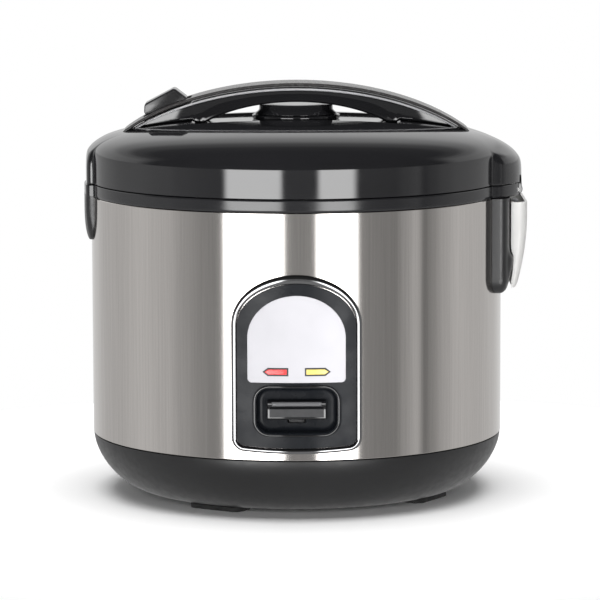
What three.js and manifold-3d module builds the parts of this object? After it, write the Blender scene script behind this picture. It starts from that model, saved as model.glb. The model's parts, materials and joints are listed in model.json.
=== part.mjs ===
// Rice cooker of the "jar" kind: a round steel body on a dark bowl-shaped base, a hinged domed lid with
// a carrying handle, a front panel with one cook lever, and a clear dew collector at the hinge.
// Millimetres, +Z up. The control panel faces -Y, the latch is at -X and the lid hinge at +X.
// Every function works about the body's own axis, and the whole group is shifted at the end so that the
// origin is the centre of the object's footprint, on the surface that it stands on.

import * as THREE from 'three';
import { mergeVertices } from 'three/addons/utils/BufferGeometryUtils.js';
import Module from 'manifold-3d';

const wasm = await Module();
wasm.setup();

// ---------------------------------------------------------------- driving dimensions

const BODY_R = 131;              // outer radius of the steel body
const FOOT_HEIGHT = 3;
const BASE_BOTTOM = 3.3;
const BASE_TOP = 38.1;
const SHELL_BOTTOM = 38.4;
const SHELL_TOP = 190.2;
const RING_BOTTOM = 190.5;
const RING_TOP = 198.3;
const LID_BOTTOM = 198.8;
const LID_WALL_TOP = 215.5;      // where the lid's straight wall turns into the dome
const LID_TOP = 240;
const DOME_POWER = 2.4;          // exponent of the dome's superellipse
const HANDLE_TOP = 262;
const HANDLE_HALF_DEPTH = 17;
const LATCH_REACH = 135.5;       // how far the latch side stands out from the axis
const HINGE_REACH = 145.2;       // how far the lid's hinge side stands out
const COLLECTOR_REACH = 146.3;
const LATCH_HALF_WIDTH = 27;
const HINGE_HALF_WIDTH = 45;
const POT_R = 112.5;
const POT_BOTTOM = 66;
const POT_FLANGE_TOP = 197.6;
const LINER_R = 116.2;
const LINER_BOTTOM = 34;
const WALL = 2.4;                // plastic mouldings
const GAP = 0.3;                 // clearance between neighbouring pieces
const ROUND_STEPS = 48;          // facets round every large turned piece
const HINGE = { x: 140, z: 194 };
const LATCH_PIVOT = { x: -124, z: 212 };
const LEVER_PIVOT = { y: -45, z: 26 };
const PANEL_FRONT_R = 133.4;     // front of the chrome bezel, measured from the axis
const FAR = 200;                 // longer than any cut needs

// ---------------------------------------------------------------- materials

const finish = (color, roughness, metalness = 0, opacity = 1) => new THREE.MeshStandardMaterial({
  color, roughness, metalness, opacity, transparent: opacity < 1,
});
const STEEL = finish(0xa8a49f, 0.35, 1);
const GLOSS_BLACK = finish(0x141416, 0.15);
const SATIN_BLACK = finish(0x1c1c1e, 0.5);
const BASE_GREY = finish(0x2a2a2c, 0.5);
const RUBBER = finish(0x0c0c0c, 0.9);
const CHROME = finish(0xd8d8d8, 0.08, 1);
const LABEL = finish(0xe6e5ea, 0.4);
const RED_LENS = finish(0xd23a38, 0.2);
const YELLOW_LENS = finish(0xe3d062, 0.2);
const ALUMINIUM = finish(0xb9bbbd, 0.4, 1);
const POT_COAT = finish(0x55575a, 0.5);
const CLEAR = finish(0xe8ecee, 0.1, 0, 0.35);
const CLIP_GREY = finish(0x7c8087, 0.5);
const GASKET = finish(0xd9d6cf, 0.7);
const BRASS = finish(0xb08d45, 0.35, 1);
const GREEN_BOARD = finish(0x2f6b45, 0.5);
const PALE_PLASTIC = finish(0xcfcabb, 0.5);

// ---------------------------------------------------------------- solids and cuts

function outward(geometry) {
  const place = geometry.getAttribute('position');
  const order = geometry.index.array;
  const a = new THREE.Vector3();
  const b = new THREE.Vector3();
  const c = new THREE.Vector3();
  let volume = 0;
  for (let i = 0; i < order.length; i += 3) {
    a.fromBufferAttribute(place, order[i]);
    b.fromBufferAttribute(place, order[i + 1]);
    c.fromBufferAttribute(place, order[i + 2]);
    volume += a.dot(b.cross(c));
  }
  if (volume < 0) {
    for (let i = 0; i < order.length; i += 3) {
      [order[i], order[i + 1]] = [order[i + 1], order[i]];
    }
  }
  return geometry;
}

function solid(geometry) {
  const bare = geometry.clone();
  bare.deleteAttribute('normal');
  bare.deleteAttribute('uv');
  const merged = outward(mergeVertices(bare, 1e-4));
  const mesh = new wasm.Mesh({
    numProp: 3,
    vertProperties: Float32Array.from(merged.getAttribute('position').array),
    triVerts: Uint32Array.from(merged.index.array),
  });
  mesh.merge();
  return new wasm.Manifold(mesh);
}

function geometryOf(body) {
  const mesh = body.getMesh();
  const geometry = new THREE.BufferGeometry();
  geometry.setAttribute('position', new THREE.BufferAttribute(mesh.vertProperties, 3));
  geometry.setIndex(new THREE.BufferAttribute(mesh.triVerts, 1));
  geometry.computeVertexNormals();
  return geometry;
}

const join = (first, ...others) => others.reduce((whole, piece) => whole.add(piece), first);
const cut = (first, ...tools) => tools.reduce((rest, tool) => rest.subtract(tool), first);
const common = (first, ...others) => others.reduce((part, other) => part.intersect(other), first);

// A turned piece from points [radius, z]; the profile closes on itself.
function turned(points, steps = ROUND_STEPS) {
  const closed = [...points, points[0]].map(([r, z]) => new THREE.Vector2(r, z));
  return solid(new THREE.LatheGeometry(closed, steps).rotateX(Math.PI / 2));
}

const ring = (inner, outer, low, high, steps) =>
  turned([[inner, low], [outer, low], [outer, high], [inner, high]], steps);

function disc(radius, low, high, steps = ROUND_STEPS) {
  return solid(new THREE.CylinderGeometry(radius, radius, high - low, steps)
    .rotateX(Math.PI / 2).rotateZ(Math.PI / 2).translate(0, 0, (low + high) / 2));
}

const rodZ = (x, y, radius, low, high, steps = 12) => disc(radius, low, high, steps).translate([x, y, 0]);

function rodY(x, z, radius, low, high, steps = 12) {
  return solid(new THREE.CylinderGeometry(radius, radius, high - low, steps)
    .translate(x, (low + high) / 2, z));
}

function rodX(y, z, radius, low, high, steps = 12) {
  return solid(new THREE.CylinderGeometry(radius, radius, high - low, steps)
    .rotateZ(Math.PI / 2).translate((low + high) / 2, y, z));
}

function block(xs, ys, zs) {
  return solid(new THREE.BoxGeometry(xs[1] - xs[0], ys[1] - ys[0], zs[1] - zs[0])
    .translate((xs[0] + xs[1]) / 2, (ys[0] + ys[1]) / 2, (zs[0] + zs[1]) / 2));
}

// Slabs: a drawn outline given thickness along one axis.
function slab(shape, depth, curveSegments = 8) {
  return new THREE.ExtrudeGeometry(shape, { depth, bevelEnabled: false, curveSegments });
}

const slabZ = (shape, low, high, curveSegments = 6) =>
  solid(slab(shape, high - low, curveSegments).translate(0, 0, low));

const slabY = (shape, low, high, curveSegments) =>
  solid(slab(shape, high - low, curveSegments).rotateX(Math.PI / 2).translate(0, high, 0));

function slabX(shape, low, high, curveSegments) {
  const turn = new THREE.Matrix4().makeBasis(
    new THREE.Vector3(0, 1, 0), new THREE.Vector3(0, 0, 1), new THREE.Vector3(1, 0, 0));
  return solid(slab(shape, high - low, curveSegments).applyMatrix4(turn).translate(low, 0, 0));
}

const outline = (points) => new THREE.Shape(points.map(([u, v]) => new THREE.Vector2(u, v)));

function roundedBox(u0, u1, v0, v1, r) {
  const shape = new THREE.Shape();
  shape.moveTo(u0 + r, v0);
  shape.lineTo(u1 - r, v0);
  shape.absarc(u1 - r, v0 + r, r, -Math.PI / 2, 0);
  shape.lineTo(u1, v1 - r);
  shape.absarc(u1 - r, v1 - r, r, 0, Math.PI / 2);
  shape.lineTo(u0 + r, v1);
  shape.absarc(u0 + r, v1 - r, r, Math.PI / 2, Math.PI);
  shape.lineTo(u0, v0 + r);
  shape.absarc(u0 + r, v0 + r, r, Math.PI, Math.PI * 1.5);
  return shape;
}

// A coil spring as one wire; the axis is +Z through (x, y).
function coil(x, y, radius, wire, low, high, turns) {
  const points = [];
  const perTurn = 8;
  for (let i = 0; i <= turns * perTurn; i += 1) {
    const angle = (2 * Math.PI * i) / perTurn;
    const z = low + wire + ((high - low - 2 * wire) * i) / (turns * perTurn);
    points.push(new THREE.Vector3(radius * Math.cos(angle), radius * Math.sin(angle), z));
  }
  const path = new THREE.CatmullRomCurve3(points);
  const section = new THREE.Shape().absarc(0, 0, wire, 0, 2 * Math.PI);
  const wireBody = new THREE.ExtrudeGeometry(section, {
    steps: turns * perTurn, curveSegments: 3, extrudePath: path, bevelEnabled: false,
  });
  return wireBody.translate(x, y, 0);
}

// ---------------------------------------------------------------- the object as a list of meshes

const cooker = new THREE.Group();

function add(name, body, material) {
  const geometry = body.isBufferGeometry ? body : geometryOf(body);
  const mesh = new THREE.Mesh(geometry, material);
  mesh.name = name;
  cooker.add(mesh);
}

// ---------------------------------------------------------------- base, feet and steel body

const BOWL_CENTRE_R = 96;
const BOWL_POWER = 1.7;
const BOWL_DROP = 36.3;

// Outer radius of the base's bowl at a height: a superellipse from the steel down to the flat bottom.
function bowlRadius(z) {
  const t = (BASE_TOP - z) / BOWL_DROP;
  return BOWL_CENTRE_R + (BODY_R - GAP - BOWL_CENTRE_R) * (1 - t ** BOWL_POWER) ** (1 / BOWL_POWER);
}

function bowlProfile() {
  const steps = 5;
  const outer = [];
  for (let i = 0; i <= steps; i += 1) {
    const z = BASE_TOP - (BASE_TOP - BASE_BOTTOM) * Math.sin((Math.PI / 2) * (i / steps));
    outer.push([bowlRadius(z), z]);
  }
  const inner = outer.map(([r, z]) => [r - WALL, Math.max(z, BASE_BOTTOM + WALL)]);
  inner[steps][0] = outer[steps][0] - WALL;
  const kept = inner.filter(([, z], i) => i === 0 || z < inner[i - 1][1] - 0.01);
  return [[0, BASE_BOTTOM], ...outer.slice().reverse(), ...kept, [0, BASE_BOTTOM + WALL]];
}

const SCREW_R = 78;
const SCREW_ANGLES = [90, 210, 330];
const radians = (degrees) => (degrees * Math.PI) / 180;
const around = (radius, degrees) => [
  radius * Math.cos(radians(degrees)),
  radius * Math.sin(radians(degrees)),
];

function baseCover() {
  let body = turned(bowlProfile());
  for (const angle of SCREW_ANGLES) {
    const [x, y] = around(SCREW_R, angle);
    body = join(body, rodZ(x, y, 5.5, BASE_BOTTOM + 0.5, 18));
    body = cut(body, rodZ(x, y, 3.2, 0, 12), rodZ(x, y, 2, 0, FAR));
  }
  const ventCount = 6;
  for (let i = 0; i < ventCount; i += 1) {
    const vent = block([38, 60], [-1.6, 1.6], [0, BASE_BOTTOM + WALL + 1]);
    body = cut(body, vent.rotate([0, 0, (360 * i) / ventCount + 15]));
  }
  return body;
}

const FOOT_ANGLES = [-121, -31, 59, 149];

function foot(angle) {
  const pad = slabZ(roundedBox(83.5, 102, -19, 19, 6), 0, FOOT_HEIGHT, 3);
  return pad.rotate([0, 0, angle]);
}

function baseScrew(angle) {
  const [x, y] = around(SCREW_R, angle);
  return join(rodZ(x, y, 2.9, 9, 11.7, 8), rodZ(x, y, 1.6, 11.5, 26, 8));
}

add('base_cover', baseCover(), BASE_GREY);
FOOT_ANGLES.forEach((angle, i) => add(`foot_${i + 1}`, foot(angle), RUBBER));
SCREW_ANGLES.forEach((angle, i) => add(`base_screw_${i + 1}`, baseScrew(angle), ALUMINIUM));

const INLET = { half: 18, low: 50, high: 80 };
const PANEL_WINDOW = { half: 29, low: 52, high: 132 };

function outerShell() {
  const tube = ring(BODY_R - 0.8, BODY_R, SHELL_BOTTOM, SHELL_TOP);
  const { half, low, high } = PANEL_WINDOW;
  const front = block([-half, half], [-FAR, 0], [low, high]);
  const rear = block(
    [-INLET.half - GAP, INLET.half + GAP], [0, FAR], [INLET.low - GAP, INLET.high + GAP]);
  return cut(tube, front, rear);
}

add('outer_shell', outerShell(), STEEL);

// ---------------------------------------------------------------- plan outlines of the two side housings

// The latch side is a band round the body's own axis.
function latchPlan(reach, halfWidth, inner) {
  const end = Math.asin(halfWidth / reach);
  const shape = new THREE.Shape();
  shape.moveTo(-inner, -halfWidth);
  shape.absarc(0, 0, reach, Math.PI + end, Math.PI - end, true);
  shape.lineTo(-inner, halfWidth);
  return shape;
}

const HINGE_ARC_X = 77.7;        // centre of the hinge side's curved outer face

function hingePlan(reach, halfWidth, inner) {
  const arc = reach - HINGE_ARC_X;
  const corner = 5;
  const flat = HINGE_ARC_X + Math.sqrt(arc * arc - (halfWidth - corner) ** 2);
  const sweep = Math.asin((halfWidth - corner) / arc);
  const shape = new THREE.Shape();
  shape.moveTo(inner, -halfWidth);
  shape.lineTo(flat - corner, -halfWidth);
  shape.quadraticCurveTo(flat - 1, -halfWidth, flat, -halfWidth + corner);
  shape.absarc(HINGE_ARC_X, 0, arc, -sweep, sweep);
  shape.quadraticCurveTo(flat - 1, halfWidth, flat - corner, halfWidth);
  shape.lineTo(inner, halfWidth);
  return shape;
}

// ---------------------------------------------------------------- upper ring with latch leg and hinge seat

const LEDGE_R = 121.2;           // seat for the pot's flange
const COLLAR_R = 113.6;
const KNUCKLE_SLOT = 17.6;       // half-width of the gap that the lid's knuckles stand in
const HINGE_BODY_REACH = 144.2;

const RING_PROFILE = [
  [129, RING_BOTTOM], [BODY_R, RING_BOTTOM], [BODY_R, RING_TOP], [LEDGE_R, RING_TOP], [LEDGE_R, 195.7],
  [COLLAR_R, 195.7], [COLLAR_R, 184], [COLLAR_R + 1.5, 184], [COLLAR_R + 1.5, 193.7], [123.2, 193.7],
  [123.2, 196.3], [129, 196.3],
];

function latchLeg() {
  const low = 163;
  const plan = slabZ(latchPlan(LATCH_REACH, LATCH_HALF_WIDTH, 118), low, RING_TOP, 6);
  const face = slabX(roundedBox(-LATCH_HALF_WIDTH, LATCH_HALF_WIDTH, low, RING_TOP + 20, 9), -FAR, 0, 6);
  return common(plan, face);
}

function hingeSeat() {
  const seat = slabZ(hingePlan(HINGE_BODY_REACH, HINGE_HALF_WIDTH, 118), RING_BOTTOM, RING_TOP, 8);
  const corner = new THREE.Shape();
  const roundR = 4.4;
  corner.moveTo(HINGE.x, HINGE.z + roundR);
  corner.absarc(HINGE.x, HINGE.z, roundR, Math.PI / 2, 0, true);
  corner.lineTo(HINGE.x + 20, HINGE.z);
  corner.lineTo(HINGE.x + 20, HINGE.z + 20);
  corner.lineTo(HINGE.x, HINGE.z + 20);
  return cut(seat, slabY(corner, -FAR, FAR));
}

function upperRing() {
  const shellRoom = disc(BODY_R + GAP, 0, RING_BOTTOM);
  const mouth = disc(LEDGE_R, 180, FAR + 20);
  const legs = cut(join(latchLeg(), hingeSeat()), shellRoom, mouth);
  let body = join(turned(RING_PROFILE), legs);
  const pocket = block([-133.2, -125], [-24, 24], [166, FAR]);
  const hookPath = block([-133.2, -121.6], [-10, 10], [180, 189.8]);
  const keeper = block([-124.2, -119], [-12, 12], [190.2, 195.7]);
  body = join(cut(body, common(pocket, disc(FAR, 160, FAR)), hookPath), keeper);
  body = cut(body, block([-133.2, -124.2], [-10, 10], [180, FAR]));
  const knuckles = block([HINGE.x - 4.8, FAR], [-KNUCKLE_SLOT, KNUCKLE_SLOT], [RING_BOTTOM - 1, FAR]);
  return cut(body, knuckles, rodY(HINGE.x, HINGE.z, 1.8, -21, 21));
}

add('upper_ring', upperRing(), SATIN_BLACK);
add('hinge_pin', rodY(HINGE.x, HINGE.z, 1.6, -20.5, 20.5), STEEL);

function hingeSpring() {
  const wire = coil(0, 0, 3, 0.55, -8, 8, 4);
  return wire.rotateX(Math.PI / 2).translate(HINGE.x, 0, HINGE.z);
}

add('hinge_spring', hingeSpring(), ALUMINIUM);

// ---------------------------------------------------------------- hinge housing, collector and its clip

const HOUSING_FACE = 135.5;
const HOUSING_LOW = 129.5;
const LOBE = { x: 138.8, z: 151.5 };

// Side view of the housing: a straight face, a lobe that the collector rests against, a tapered foot.
function housingSide() {
  const shape = new THREE.Shape();
  shape.moveTo(110, SHELL_TOP);
  shape.lineTo(HOUSING_FACE, SHELL_TOP);
  shape.lineTo(HOUSING_FACE, 158);
  shape.quadraticCurveTo(HOUSING_FACE, 154, LOBE.x, LOBE.z);
  shape.quadraticCurveTo(LOBE.x - 0.3, 142, 134.8, 136);
  shape.quadraticCurveTo(132, HOUSING_LOW, 127, HOUSING_LOW);
  shape.lineTo(110, HOUSING_LOW);
  return shape;
}

function hingeHousing() {
  const side = slabY(housingSide(), -HINGE_HALF_WIDTH, HINGE_HALF_WIDTH, 5);
  const plan = slabZ(hingePlan(141, HINGE_HALF_WIDTH, 110), HOUSING_LOW, SHELL_TOP, 6);
  const outlineX = roundedBox(-HINGE_HALF_WIDTH, HINGE_HALF_WIDTH, HOUSING_LOW, FAR + 30, 14);
  const face = slabX(outlineX, 100, FAR, 5);
  const inside = slabX(roundedBox(-42, 42, HOUSING_LOW + WALL, SHELL_TOP - WALL, 11), 100, 133.2, 5);
  return cut(common(side, plan, face), disc(BODY_R + GAP, 0, FAR), inside);
}

add('hinge_housing', hingeHousing(), SATIN_BLACK);

const COLLECTOR_HALF_WIDTH = 33;
const COLLECTOR_TOP = 187.1;
const COLLECTOR_FACE = 135.9;

function collectorSide(inset) {
  const face = COLLECTOR_FACE + inset;
  const top = inset > 0 ? COLLECTOR_TOP + 5 : COLLECTOR_TOP;
  const shape = new THREE.Shape();
  shape.moveTo(face, top);
  shape.lineTo(face, 158);
  shape.quadraticCurveTo(face, 155, LOBE.x + 0.6 + inset, LOBE.z + inset * 0.8);
  shape.quadraticCurveTo(LOBE.x + 0.3 + inset, 143, 136 + inset * 1.6, 136 + inset * 1.6);
  shape.lineTo(136.2 + inset * 1.2, 132.7 + inset * 1.2);
  shape.lineTo(138.9 - inset * 0.1, 132.7 + inset * 1.2);
  shape.quadraticCurveTo(144.6 - inset, 141, 145.6 - inset, 158);
  shape.quadraticCurveTo(COLLECTOR_REACH - inset, 168, COLLECTOR_REACH - inset, 178);
  shape.lineTo(COLLECTOR_REACH - inset - 0.4, top);
  return shape;
}

function dewCollector() {
  const half = COLLECTOR_HALF_WIDTH;
  const side = slabY(collectorSide(0), -half, half, 6);
  const plan = slabZ(hingePlan(COLLECTOR_REACH, half, 120), 130, FAR, 6);
  const wall = 1.5;
  const inside = slabY(collectorSide(wall), -half + wall, half - wall, 6);
  const insidePlan = slabZ(hingePlan(COLLECTOR_REACH - wall, half - wall, 120), 130, FAR, 6);
  const clipSlot = block([130, 139], [-8, 8], [171.5, FAR]);
  return cut(common(side, plan), common(inside, insidePlan), clipSlot);
}

add('dew_collector', dewCollector(), CLEAR);
add('collector_clip', block([HOUSING_FACE + GAP, 142], [-7, 7], [173, 185.5]), CLIP_GREY);

// ---------------------------------------------------------------- liner, pot, plate and sensor

function innerLiner() {
  const wall = 0.8;
  const cup = [
    [22, LINER_BOTTOM], [LINER_R, LINER_BOTTOM], [LINER_R, 193.3], [LINER_R - wall, 193.3],
    [LINER_R - wall, LINER_BOTTOM + wall], [22, LINER_BOTTOM + wall],
  ];
  return turned(cup);
}

function innerPot() {
  const wall = 1.8;
  const bend = 10;
  const profile = [
    [0, POT_BOTTOM], [POT_R - bend, POT_BOTTOM], [POT_R - 3, POT_BOTTOM + 3], [POT_R, POT_BOTTOM + bend],
    [POT_R, 196], [119.8, 196], [119.8, POT_FLANGE_TOP], [POT_R - wall, POT_FLANGE_TOP],
    [POT_R - wall, POT_BOTTOM + bend], [POT_R - 4.4, POT_BOTTOM + 4.4], [POT_R - bend, POT_BOTTOM + wall],
    [0, POT_BOTTOM + wall],
  ];
  return turned(profile);
}

const SENSOR_HOLE_R = 17.2;

function heatingPlate() {
  const profile = [
    [SENSOR_HOLE_R, 52], [84, 52], [88, 56], [88, 64], [86.5, POT_BOTTOM - GAP],
    [SENSOR_HOLE_R, POT_BOTTOM - GAP],
  ];
  let plate = turned(profile, 32);
  for (const angle of [30, 150, 270]) {
    const [x, y] = around(76, angle);
    plate = join(plate, rodZ(x, y, 4, LINER_BOTTOM + 1.1, 53, 16));
  }
  return plate;
}

function heatingElement() {
  return new THREE.TorusGeometry(58, 4, 6, 32).translate(0, 0, 47.6);
}

function sensorSleeve() {
  const profile = [
    [6.5, 40], [16.6, 40], [16.6, 62], [14.4, 62], [14.4, 42.5], [6.5, 42.5],
  ];
  return turned(profile, 20);
}

function sensorCap() {
  const top = POT_BOTTOM - GAP;
  const profile = [
    [0, top], [12.4, top], [13.4, top - 1], [13.4, 52], [12.2, 52], [12.2, top - 2], [0, top - 2],
  ];
  return turned(profile, 20);
}

add('inner_liner', innerLiner(), ALUMINIUM);
add('inner_pot', innerPot(), POT_COAT);
add('heating_plate', heatingPlate(), ALUMINIUM);
add('heating_element', heatingElement(), STEEL);
add('warming_band', ring(LINER_R + GAP, LINER_R + 1.4, 104, 146, ROUND_STEPS), ALUMINIUM);
add('sensor_sleeve', sensorSleeve(), ALUMINIUM);
add('sensor_cap', sensorCap(), ALUMINIUM);
add('sensor_magnet', rodZ(0, 0, 6.5, 49.5, 63.4), STEEL);
add('sensor_spring', coil(0, 0, 9.6, 0.6, 43, 63.2, 4), ALUMINIUM);
add('magnet_plunger', rodZ(0, 0, 5, 28.4, 43.4), STEEL);
add('thermal_fuse', rodX(40, 39, 3, -11, 11, 16), PALE_PLASTIC);

// ---------------------------------------------------------------- cook lever and its switchgear

const KEY = { half: 18, low: 63.1, high: 75.9, front: -128.6, back: -124.6 };
const ARM_HALF = 5;
const ARM_Y = [-121, -118.4];

function cookLever() {
  const key = slabX(roundedBox(KEY.front, KEY.back, KEY.low, KEY.high, 1.6), -KEY.half, KEY.half, 3);
  const rib = rodX(KEY.front + 0.3, KEY.high - 3, 1.9, -KEY.half + 1, KEY.half - 1, 12);
  const neck = block([-ARM_HALF, ARM_HALF], [KEY.back - 1, ARM_Y[1]], [66, 73]);
  const upright = block([-ARM_HALF, ARM_HALF], ARM_Y, [24, 73]);
  const beam = block([-ARM_HALF, ARM_HALF], [ARM_Y[0], 7], [24, 28]);
  const hub = rodX(LEVER_PIVOT.y, LEVER_PIVOT.z, 4, -ARM_HALF, ARM_HALF);
  const bore = rodX(LEVER_PIVOT.y, LEVER_PIVOT.z, 1.75, -FAR, FAR);
  return cut(join(key, rib, neck, upright, beam, hub), bore);
}

function leverBracket() {
  const floor = BASE_BOTTOM + WALL + GAP;
  const plate = block([-12, 21], [-66, -36], [floor, floor + 1.5]);
  const ears = [[-8.4, -6.6], [6.6, 8.4]].map((xs) => block(xs, [-51, -39], [floor, 31]));
  return cut(join(plate, ...ears), rodX(LEVER_PIVOT.y, LEVER_PIVOT.z, 1.75, -FAR, FAR));
}

const FLOOR_TOP = BASE_BOTTOM + WALL + GAP;

add('cook_lever', cookLever(), GLOSS_BLACK);
add('lever_pin', rodX(LEVER_PIVOT.y, LEVER_PIVOT.z, 1.6, -10, 10), STEEL);
add('lever_bracket', leverBracket(), STEEL);
add('lever_spring', coil(0, -90, 4, 0.6, FLOOR_TOP, 23.7, 4), ALUMINIUM);
add('microswitch', block([10, 20], [-64, -44], [FLOOR_TOP + 1.8, FLOOR_TOP + 12]), SATIN_BLACK);
add('terminal_block', block([26, 56], [44, 60], [FLOOR_TOP, FLOOR_TOP + 13]), PALE_PLASTIC);

// ---------------------------------------------------------------- front panel

// The panel's outline: straight sides, an elliptical arch above and a slightly bowed lower edge.
function arch(half, low, spring, top, corner, bow) {
  const shape = new THREE.Shape();
  shape.moveTo(half, spring);
  shape.absellipse(0, spring, half, top - spring, 0, Math.PI);
  shape.lineTo(-half, low + corner + bow);
  shape.quadraticCurveTo(-half, low + bow, -half + corner, low + bow);
  shape.quadraticCurveTo(0, low - bow, half - corner, low + bow);
  shape.quadraticCurveTo(half, low + bow, half, low + corner + bow);
  return shape;
}

// What lies on the front is cut from a shell round the body's axis, so that it follows the body.
const onFront = (shape, innerR, outerR) =>
  common(slabY(shape, -FAR, 0, 8), ring(innerR, outerR, 0, FAR));

const LENS = { z: 93.5, half: 1.7, near: 5.7, far: 19.8, point: 2.6 };
const SWITCH = { half: 24.5, low: 55.7, high: 82.8, corner: 8, floor: -124 };

function lensOutline(side, grow = 0) {
  const near = side * (LENS.near - grow);
  const far = side * (LENS.far + grow * 1.4);
  const neck = side * (LENS.far - LENS.point);
  const half = LENS.half + grow;
  const points = [[near, LENS.z - half], [neck, LENS.z - half], [far, LENS.z], [neck, LENS.z + half],
    [near, LENS.z + half]];
  return outline(points);
}

const PLATE_R = { inner: BODY_R + GAP, outer: 132.4 };
const LABEL_R = { inner: 132.6, outer: 132.9 };

function panelPlate() {
  const s = SWITCH;
  const wall = 1.6;
  let plate = onFront(arch(36.4, 47, 121, 147.2, 5, 0.6), PLATE_R.inner, PLATE_R.outer);
  const around = () => roundedBox(
    -s.half - wall, s.half + wall, s.low - wall, s.high + wall, s.corner + wall,
  );
  const bucket = slabY(around(), s.floor - 0.1, s.floor + wall);
  const sleeve = slabY(around(), -131.5, s.floor + wall);
  const hole = slabY(roundedBox(-s.half, s.half, s.low, s.high, s.corner), -FAR, s.floor);
  plate = cut(join(plate, common(sleeve, disc(PLATE_R.outer, 0, FAR)), bucket), hole);
  const armWindow = block([-ARM_HALF - 1.5, ARM_HALF + 1.5], [-125.4, -100], [40, 80]);
  const lenses = [-1, 1].map((side) => slabY(lensOutline(side, GAP), -FAR, 0));
  return cut(plate, armWindow, ...lenses);
}

function bezel() {
  const outer = arch(40, 43.5, 122.5, 152.8, 8, 0.7);
  const inner = arch(36.7, 46.7, 121, 147.5, 5, 0.6);
  const frame = cut(onFront(outer, BODY_R + GAP, PANEL_FRONT_R), slabY(inner, -FAR, 0, 8));
  return frame;
}

function labelPlate() {
  const sheet = onFront(arch(30, 86.8, 115.1, 140.2, 2.5, 0), LABEL_R.inner, LABEL_R.outer);
  return cut(sheet, ...[-1, 1].map((side) => slabY(lensOutline(side, GAP), -FAR, 0)));
}

const lens = (side) => onFront(lensOutline(side), 129.6, 133.2);

add('control_bezel', bezel(), CHROME);
add('panel_plate', panelPlate(), GLOSS_BLACK);
add('label_plate', labelPlate(), LABEL);
add('red_lens', lens(-1), RED_LENS);
add('yellow_lens', lens(1), YELLOW_LENS);
add('lamp_board', block([-26, 26], [-123, -121.4], [87, 103]), GREEN_BOARD);

// ---------------------------------------------------------------- power inlet at the back

function powerInlet() {
  const face = roundedBox(-INLET.half, INLET.half, INLET.low, INLET.high, 3);
  const housing = slabY(face, 118, PANEL_FRONT_R, 3);
  const socket = slabY(roundedBox(-13, 13, 56, 74, 2), 120.5, FAR, 3);
  return cut(housing, socket);
}

const PIN_XS = [-8, 0, 8];

add('power_inlet', powerInlet(), SATIN_BLACK);
PIN_XS.forEach((x, i) => {
  add(`inlet_pin_${i + 1}`, block([x - 1, x + 1], [120.8, 131], [58.5, 62.5]), BRASS);
});

// ---------------------------------------------------------------- lid cover

const domeHeight = (r) =>
  (LID_TOP - LID_WALL_TOP) * (1 - (Math.abs(r) / BODY_R) ** DOME_POWER) ** (1 / DOME_POWER);

// The dome as a solid, moved outward by an offset (inward when it is negative), from a given height up.
function dome(offset, low, steps = 7) {
  const points = [[0, low], [BODY_R + offset, low]];
  for (let i = 0; i <= steps; i += 1) {
    const r = BODY_R * Math.cos((Math.PI / 2) * (i / steps) ** 1.25);
    const scale = (BODY_R + offset) / BODY_R;
    points.push([r * scale, LID_WALL_TOP + domeHeight(r) + offset * (1 - (r / BODY_R) ** 2)]);
  }
  return turned(points.map(([r, z]) => [r < 0.01 ? 0 : r, z]));
}

const CHANNEL = { depth: 2, halfLength: 66, halfWidth: 34.5 };

// The shallow finger channel that runs under the handle.
function channel(offset) {
  const steps = 10;
  const points = [[-CHANNEL.halfLength, FAR + 80], [-CHANNEL.halfLength, LID_TOP - 3]];
  for (let i = 0; i <= steps; i += 1) {
    const x = CHANNEL.halfLength * ((2 * i) / steps - 1);
    points.push([x, LID_WALL_TOP + domeHeight(x) - CHANNEL.depth + offset]);
  }
  points.push([CHANNEL.halfLength, LID_TOP - 3], [CHANNEL.halfLength, FAR + 80]);
  points.splice(1, 1);
  points.splice(points.length - 2, 1);
  return slabY(outline(points), -CHANNEL.halfWidth + offset, CHANNEL.halfWidth - offset);
}

// Side views of the two wings: each carries the dome's outline on to its own outer face.
function wingSide(reach, shoulder, inset, low) {
  const side = Math.sign(reach);
  const start = 96;
  const outer = Math.abs(reach) - inset;
  const shape = new THREE.Shape();
  shape.moveTo(side * start, low);
  shape.lineTo(side * outer, low);
  shape.lineTo(side * (outer - 0.2), shoulder - inset * 0.5);
  shape.bezierCurveTo(
    side * (outer - 1.5), shoulder + 11 - inset,
    side * (outer - 15), 227.5 - inset,
    side * 113, 230.2 - inset,
  );
  const crown = LID_WALL_TOP + domeHeight(start) - 0.3 - inset;
  shape.quadraticCurveTo(side * 105, 232.5 - inset, side * start, crown);
  return shape;
}

function lidOuter(offset, low) {
  return cut(dome(offset, low), channel(offset));
}

function wing(side, inset, low) {
  if (side < 0) {
    const plan = latchPlan(LATCH_REACH - inset, LATCH_HALF_WIDTH - inset, 90);
    const band = slabY(wingSide(-LATCH_REACH, 209, inset, low), -LATCH_HALF_WIDTH, LATCH_HALF_WIDTH, 6);
    return common(band, slabZ(plan, 150, FAR + 60, 6));
  }
  const plan = hingePlan(HINGE_REACH - inset, HINGE_HALF_WIDTH - inset, 90);
  const band = slabY(wingSide(HINGE_REACH, 205, inset, low), -HINGE_HALF_WIDTH, HINGE_HALF_WIDTH, 6);
  return common(band, slabZ(plan, 150, FAR + 60, 6));
}

// The lid's outside without its channel, grown by the gap that the handle keeps to it.
const HANDLE_GAP = 0.5;
const lidClearance = () =>
  join(dome(HANDLE_GAP, 150), wing(-1, -HANDLE_GAP, 150), wing(1, -HANDLE_GAP, 150));

const STEM = { x: [-85, -81], half: 3, low: 225.3 };
const STEM_ROOM_X = [STEM.x[0] - 0.6, STEM.x[1] + 2.2];   // the stem slides towards the middle
const STEM_ROOM_Y = [-STEM.half - 0.6, STEM.half + 0.6];
const HANDLE_SCREWS = [[-63, -9], [-63, 9], [63, -9], [63, 9]];
const VENT_TUBE_R = 12.2;

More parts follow.
